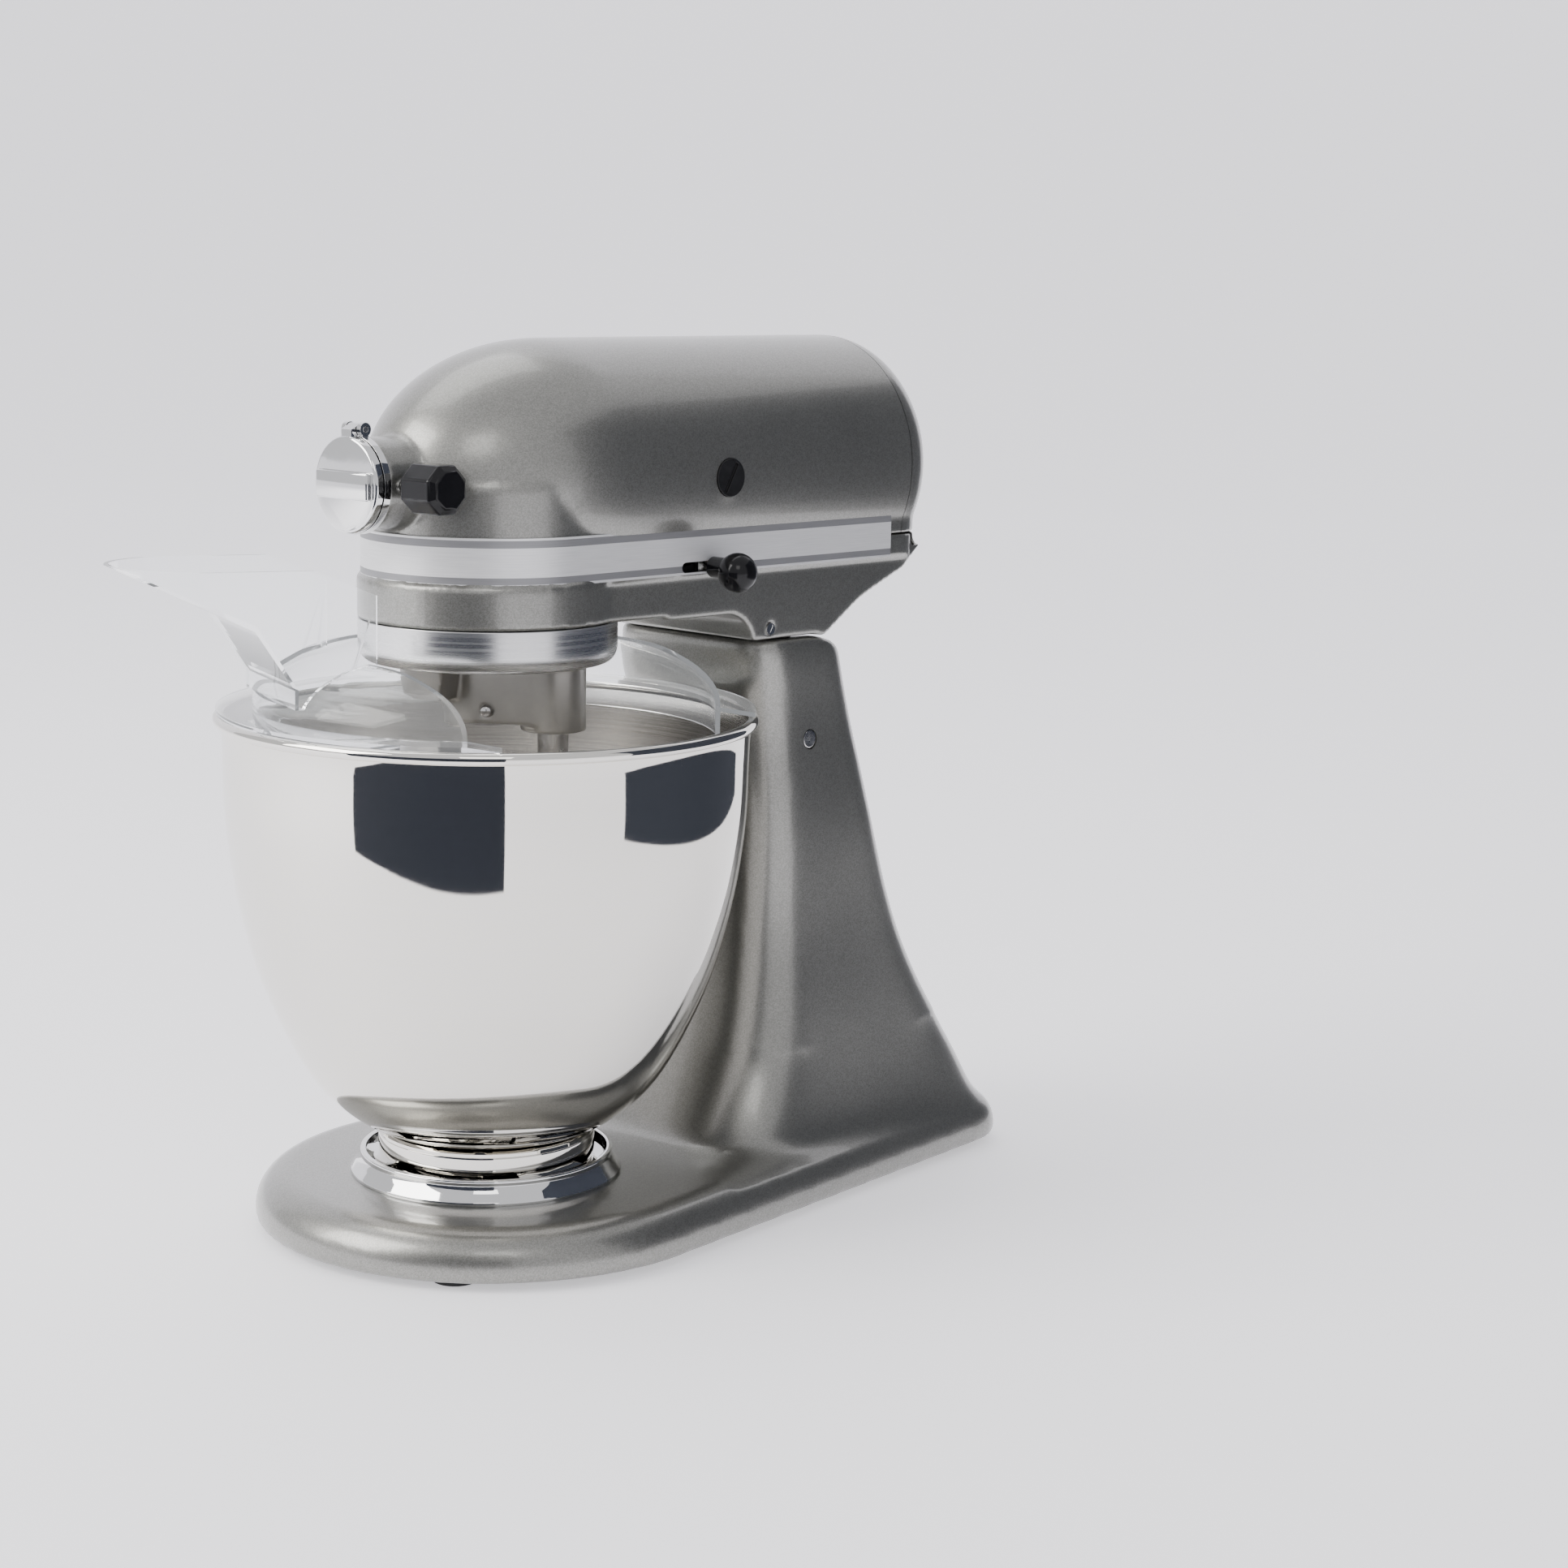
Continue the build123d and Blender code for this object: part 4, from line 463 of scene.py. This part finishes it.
# ---- Bowl and its foot -------------------------------------------------------------------------
# Stainless steel, spun from sheet: mirror-polished outside, left with fine turning lines inside,
# its rim rolled over a wire. The foot is a polished ring pressed on, with bayonet lugs.
def around_group():
    """Coordinates of a turned part: distance from its axis, and height along it."""
    tree, takes, gives = new_group("around", [("Vector", "NodeSocketVector", (0, 0, 0))],
                                   [("Vector", "NodeSocketVector")])
    apart = node(tree, "ShaderNodeSeparateXYZ")
    flat = node(tree, "ShaderNodeCombineXYZ")
    far = node(tree, "ShaderNodeVectorMath", operation="LENGTH")
    both = node(tree, "ShaderNodeCombineXYZ")
    tree.links.new(takes.outputs["Vector"], apart.inputs[0])
    tree.links.new(apart.outputs["X"], flat.inputs["X"])
    tree.links.new(apart.outputs["Y"], flat.inputs["Y"])
    tree.links.new(flat.outputs[0], far.inputs[0])
    tree.links.new(far.outputs["Value"], both.inputs["X"])
    tree.links.new(apart.outputs["Z"], both.inputs["Y"])
    tree.links.new(both.outputs[0], gives.inputs["Vector"])
    return tree


around = around_group()


def turned(tree):
    """Turned coordinates about the bowl's upright axis."""
    centred = node(tree, "ShaderNodeMapping")
    centred.inputs["Location"].default_value = (-bowl_x, -bowl_y, 0)
    tree.links.new(node(tree, "ShaderNodeTexCoord").outputs["Object"], centred.inputs["Vector"])
    used = place_group(tree, around)
    tree.links.new(centred.outputs[0], used.inputs["Vector"])
    return used.outputs["Vector"]


def smooth_line(knots, cuts):
    """A smooth line through knots, with cuts points from each to the next."""
    line = []
    for k in range(len(knots) - 1):
        before, start, end = knots[max(k - 1, 0)], knots[k], knots[k + 1]
        after = knots[min(k + 2, len(knots) - 1)]
        leaving, arriving = start + (end - before) / 6, end - (after - start) / 6
        line += interpolate_bezier(start, leaving, arriving, end, cuts + 1)[:-1]
    return line + [knots[-1]]


def turn(bm, geometry):
    """Turns points and edges a full turn about the bowl's axis into a skin that faces outwards."""
    bmesh.ops.spin(bm, geom=geometry, cent=(bowl_x, bowl_y, 0), axis=(0, 0, 1), angle=2 * math.pi,
                   steps=160, use_merge=True)
    bmesh.ops.remove_doubles(bm, verts=bm.verts, dist=1e-6)
    bmesh.ops.recalc_face_normals(bm, faces=bm.faces)


def turned_skin(shape, cuts):
    """A bmesh turned from a smooth line through (radius, height) knots."""
    bm = bmesh.new()
    line = smooth_line([Vector((bowl_x + r, bowl_y, z)) for r, z in shape], cuts)
    points = [bm.verts.new(p) for p in line]
    turn(bm, points + [bm.edges.new(pair) for pair in zip(points, points[1:])])
    return bm


mirror_steel = even("mirror_steel", (0.80, 0.78, 0.735), 1.0, 0.035, 900, 0.01, 0.012, 0.0000006, turned)
turned_steel = even("turned_steel", (0.76, 0.745, 0.72), 1.0, 0.2, 1400, 0.04, 0.05, 0.000003, turned)
bowl_wall, bead = 0.001, 0.0024
rim_r, rim_z = bowl_high.x - bowl_x - bead, bowl_high.z - bead
bowl_shape = ((rim_r, rim_z), (0.1036, 0.200), (0.1032, 0.192), (0.1022, 0.164), (0.0974, 0.132),
              (0.088, 0.099), (0.0725, 0.067), (0.0575, 0.050), (0.040, 0.0405), (0.020, 0.0402),
              (0.0, 0.0402))
bowl = add_piece("bowl_shell", turned_skin(bowl_shape, 7), [mirror_steel, turned_steel], "bowl", 60)
wall = bowl.modifiers.new("sheet", "SOLIDIFY")
wall.thickness = bowl_wall
wall.offset = -1
wall.material_offset = 1
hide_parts("bowl")
bm = bmesh.new()
bmesh.ops.create_circle(bm, segments=24, radius=bead)
bmesh.ops.rotate(bm, verts=bm.verts, cent=(0, 0, 0), matrix=Matrix.Rotation(math.pi / 2, 3, "X"))
bmesh.ops.translate(bm, verts=bm.verts, vec=(bowl_x + rim_r, bowl_y, rim_z))
turn(bm, bm.verts[:] + bm.edges[:])
rim = add_piece("bowl_rim", bm, [mirror_steel], "bowl", 60)

# The foot and the clamp plate are dressed from the CAD, under finely turned outer faces.
foot_low, foot_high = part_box("bowl_foot")
foot_r = 0.043
dressed("bowl_foot", mirror_steel, 0.0)
foot_shape = ((foot_r, foot_low.z + 0.0040), (foot_r + 0.0003, foot_low.z + 0.0045),
              (foot_r + 0.0003, foot_high.z - 0.003), (foot_r - 0.0002, foot_high.z - 0.0018),
              (foot_r - 0.0016, foot_high.z - 0.0008))
foot_skin = add_piece("foot_band", turned_skin(foot_shape, 4), [mirror_steel], "bowl", 60)
plate_low, plate_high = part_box("bowl_clamp_plate")
plate_r, lip_r = plate_high.y + 0.0002, 0.0506
plate_shape = ((plate_r, plate_low.z + 0.0001), (plate_r, plate_low.z + 0.0013),
               (plate_r - 0.0008, plate_low.z + 0.0022), (lip_r + 0.0012, plate_low.z + 0.0042),
               (lip_r, plate_low.z + 0.0064), (lip_r, plate_high.z - 0.0006),
               (lip_r - 0.0005, plate_high.z + 0.0001), (lip_r - 0.0018, plate_high.z + 0.0001),
               (lip_r - 0.0023, plate_high.z - 0.0005), (lip_r - 0.0023, plate_high.z - 0.005))
plate_skin = add_piece("clamp_band", turned_skin(plate_shape, 4), [chrome], "stand", 60)


# ---- Pouring shield and chute ------------------------------------------------------------------
# Clear moulded plastic, polished in the mould. Its faint blue-white glow is painted light for the bright
# edges it catches.
# The shield drops into the rim, and the chute snaps on over its gate.
clear_plastic = even("clear_plastic", (0.99, 0.995, 1.0), 0.0, 0.02, 40, 0.005, 0.01, 0.000002,
                     Transmission_Weight=1.0, IOR=1.3, Emission_Strength=0.05,
                     Emission_Color=(0.93, 0.96, 1, 1))
for clear_node in ("splash_shield", "pour_chute"):
    dressed(clear_node, clear_plastic, 0.0, 25).visible_shadow = False


# ---- Trim band ---------------------------------------------------------------------------------
# Bright aluminium strip, brushed along its length, printed with a grey stripe along each edge.
# It wraps the joint between housing and gearcase, and is slotted for the two levers.
def stretched(tree, scale):
    """Object coordinates scaled by axis, for brushing and for stacked sheets."""
    mapped = node(tree, "ShaderNodeMapping")
    mapped.inputs["Scale"].default_value = scale
    tree.links.new(node(tree, "ShaderNodeTexCoord").outputs["Object"], mapped.inputs["Vector"])
    return mapped.outputs[0]


band_low, band_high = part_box("trim_band")
band_colour, band_roughness = (0.8, 0.8, 0.81), 0.42
band_metal, tree, shader = finish("band_metal", band_colour, 0.55, band_roughness)
brushing = mottled(tree, shader, band_colour, band_roughness, 3000, 0.06, 0.05, 0.000004,
                   stretched(tree, (0.02, 0.02, 1.0)))
level = node(tree, "ShaderNodeSeparateXYZ")
tree.links.new(node(tree, "ShaderNodeTexCoord").outputs["Object"], level.inputs[0])
share = node(tree, "ShaderNodeMapRange")
share.inputs["From Min"].default_value = band_low.z
share.inputs["From Max"].default_value = band_high.z
tree.links.new(level.outputs["Z"], share.inputs["Value"])
stripes = node(tree, "ShaderNodeValToRGB")
stripes.color_ramp.interpolation = "CONSTANT"
plain, grey = (1, 1, 1, 1), (0.34, 0.34, 0.35, 1)
stripes.color_ramp.elements[0].color = plain
stripes.color_ramp.elements[1].position, stripes.color_ramp.elements[1].color = 0.05, grey
for place, tone in ((0.19, plain), (0.80, grey), (0.95, plain)):
    stripes.color_ramp.elements.new(place).color = tone
tree.links.new(share.outputs[0], stripes.inputs["Fac"])
printed = node(tree, "ShaderNodeMix", data_type="RGBA", blend_type="MULTIPLY")
printed.inputs[0].default_value = 1.0
tree.links.new(brushing.outputs["Colour"], printed.inputs[6])
tree.links.new(stripes.outputs["Color"], printed.inputs[7])
tree.links.new(printed.outputs[2], shader.inputs["Base Color"])
dressed("trim_band", band_metal, 0.0002)


# ---- Drip ring, planetary and beater shaft -----------------------------------------------------
# The drip ring is turned aluminium. The planetary is a die casting, lacquered as the body is, which
# carries the ground steel beater shaft in an offset boss.
turned_aluminium = even("turned_aluminium", (0.72, 0.72, 0.725), 1.0, 0.27, 900, 0.07, 0.06, 0.000006,
                        turned)
dressed("drip_ring", turned_aluminium, 0.0003)
casting_grey = even("casting_grey", (0.36, 0.345, 0.32), 0.85, 0.4, 160, 0.05, 0.05, 0.00002,
                    Coat_Weight=0.3, Coat_Roughness=0.2)
bm = cast("planetary_casting", merged("planetary_housing"), 0.0008, 4)
planetary = add_piece("planetary_casting", bm, [casting_grey], "planetary", 50)
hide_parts("planetary_housing")
dressed("beater_shaft", ground_steel, 0.0002)


# ---- Attachment hub ----------------------------------------------------------------------------
# A chromed ring on the nose with a hinged cap that has a plain raised bar, and a black thumbscrew
# that holds an attachment's shank.
dressed("hub_ring", chrome, 0.0003)
dressed("hub_cover", chrome, 0.0003)
cap_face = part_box("hub_cover")[0].x
hub_low, hub_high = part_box("hub_spindle")
bar_size, bar_proud = (0.0022, 0.030, 0.0105), 0.0002
bm = bmesh.new()
bmesh.ops.create_cube(bm, size=1.0)
bmesh.ops.scale(bm, verts=bm.verts, vec=bar_size)
bmesh.ops.translate(bm, verts=bm.verts, vec=(cap_face - bar_proud, 0, (hub_low.z + hub_high.z) / 2))
bmesh.ops.bevel(bm, geom=bm.edges[:], offset=0.0009, offset_type="OFFSET", segments=3, profile=0.5,
                affect="EDGES", material=-1)
bar = add_piece("cap_bar", bm, [chrome], nodes["hub_cover"]["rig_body"], 50)
gloss_black = even("gloss_black", (0.006, 0.006, 0.007), 0.0, 0.18, 70, 0.2, 0.04, 0.000006,
                   Specular_IOR_Level=0.28)
dressed("hub_knob", gloss_black, 0.0008, 20)
dressed("hub_knob_screw", chrome, 0.0002)


# ---- Levers ------------------------------------------------------------------------------------
# Round black knobs on stamped steel links: head lock on the near side, speed on the far side.
def cover(names, material):
    """CAD nodes whose own shape shows get a material."""
    for name in names:
        nodes[name].data.materials.clear()
        nodes[name].data.materials.append(material)


dressed("lock_knob", gloss_black, 0.0003)
dressed("speed_knob", gloss_black, 0.0003)
cover(("lock_link", "speed_link"), plated)


# ---- Brush caps, screws and cord inlet ---------------------------------------------------------
# Satin black caps slotted for a coin, steel screws and a rubber grommet.
satin_black = even("satin_black", (0.01, 0.01, 0.011), 0.0, 0.38, 250, 0.15, 0.06, 0.00002,
                   Specular_IOR_Level=0.25)
dressed("brush_caps", satin_black, 0.0003)
dressed("height_screw", chrome, 0.0003)
dressed("rear_cover_screw", plated, 0.0004)
dressed("cord_inlet", foot_rubber, 0.0003)
cover(("ring_gear_screws",), plated)


# ---- Gear train --------------------------------------------------------------------------------
# Cut steel gears and ground shafts in sintered bronze bushes; the worm's wheel is bronze.
cut_steel = even("cut_steel", (0.42, 0.42, 0.42), 1.0, 0.36, 260, 0.08, 0.1, 0.00001)
cover(("ring_gear", "planet_pinion", "centre_gear", "drive_pinion", "bevel_gear", "hub_bevel_gear"),
      cut_steel)
cover(("centre_shaft", "wheel_shaft", "hub_spindle", "armature_shaft", "motor_bearings"), ground_steel)
bronze = even("bronze", (0.62, 0.42, 0.2), 1.0, 0.34, 320, 0.12, 0.08, 0.00001)
cover(("worm_wheel", "centre_bush", "hub_bearing"), bronze)


# ---- Motor -------------------------------------------------------------------------------------
# Stacked iron laminations, copper windings, a segmented commutator and carbon brushes.
def stacked(tree):
    """Coordinates that change only along the motor's shaft, from sheet to sheet."""
    return stretched(tree, (1.0, 0.01, 0.01))


laminations = even("laminations", (0.2, 0.2, 0.21), 0.9, 0.45, 2000, 0.25, 0.1, 0.00002, stacked)
cover(("armature_core", "stator_core"), laminations)
copper = even("enamelled_copper", (0.55, 0.22, 0.1), 0.9, 0.3, 1500, 0.3, 0.1, 0.00003, Coat_Weight=0.4)
cover(("armature_windings", "field_coils", "commutator"), copper)
carbon = even("carbon", (0.03, 0.03, 0.032), 0.2, 0.6, 400, 0.3, 0.1, 0.00002)
cover(("carbon_brushes",), carbon)
spring_wire = even("spring_wire", (0.45, 0.45, 0.46), 1.0, 0.3, 500, 0.08, 0.08, 0.00001)
cover(("brush_springs",), spring_wire)
moulded = even("moulded_black", (0.03, 0.03, 0.03), 0.0, 0.5, 300, 0.15, 0.08, 0.00002)
cover(("cooling_fan", "speed_plate", "brush_holders"), moulded)
alloy = even("bracket_alloy", (0.5, 0.5, 0.5), 0.95, 0.42, 200, 0.08, 0.08, 0.00003)
cover(("gear_bracket", "motor_end_bracket"), alloy)
board_green = even("board_green", (0.03, 0.16, 0.07), 0.0, 0.35, 500, 0.15, 0.06, 0.00001)
cover(("control_board",), board_green)
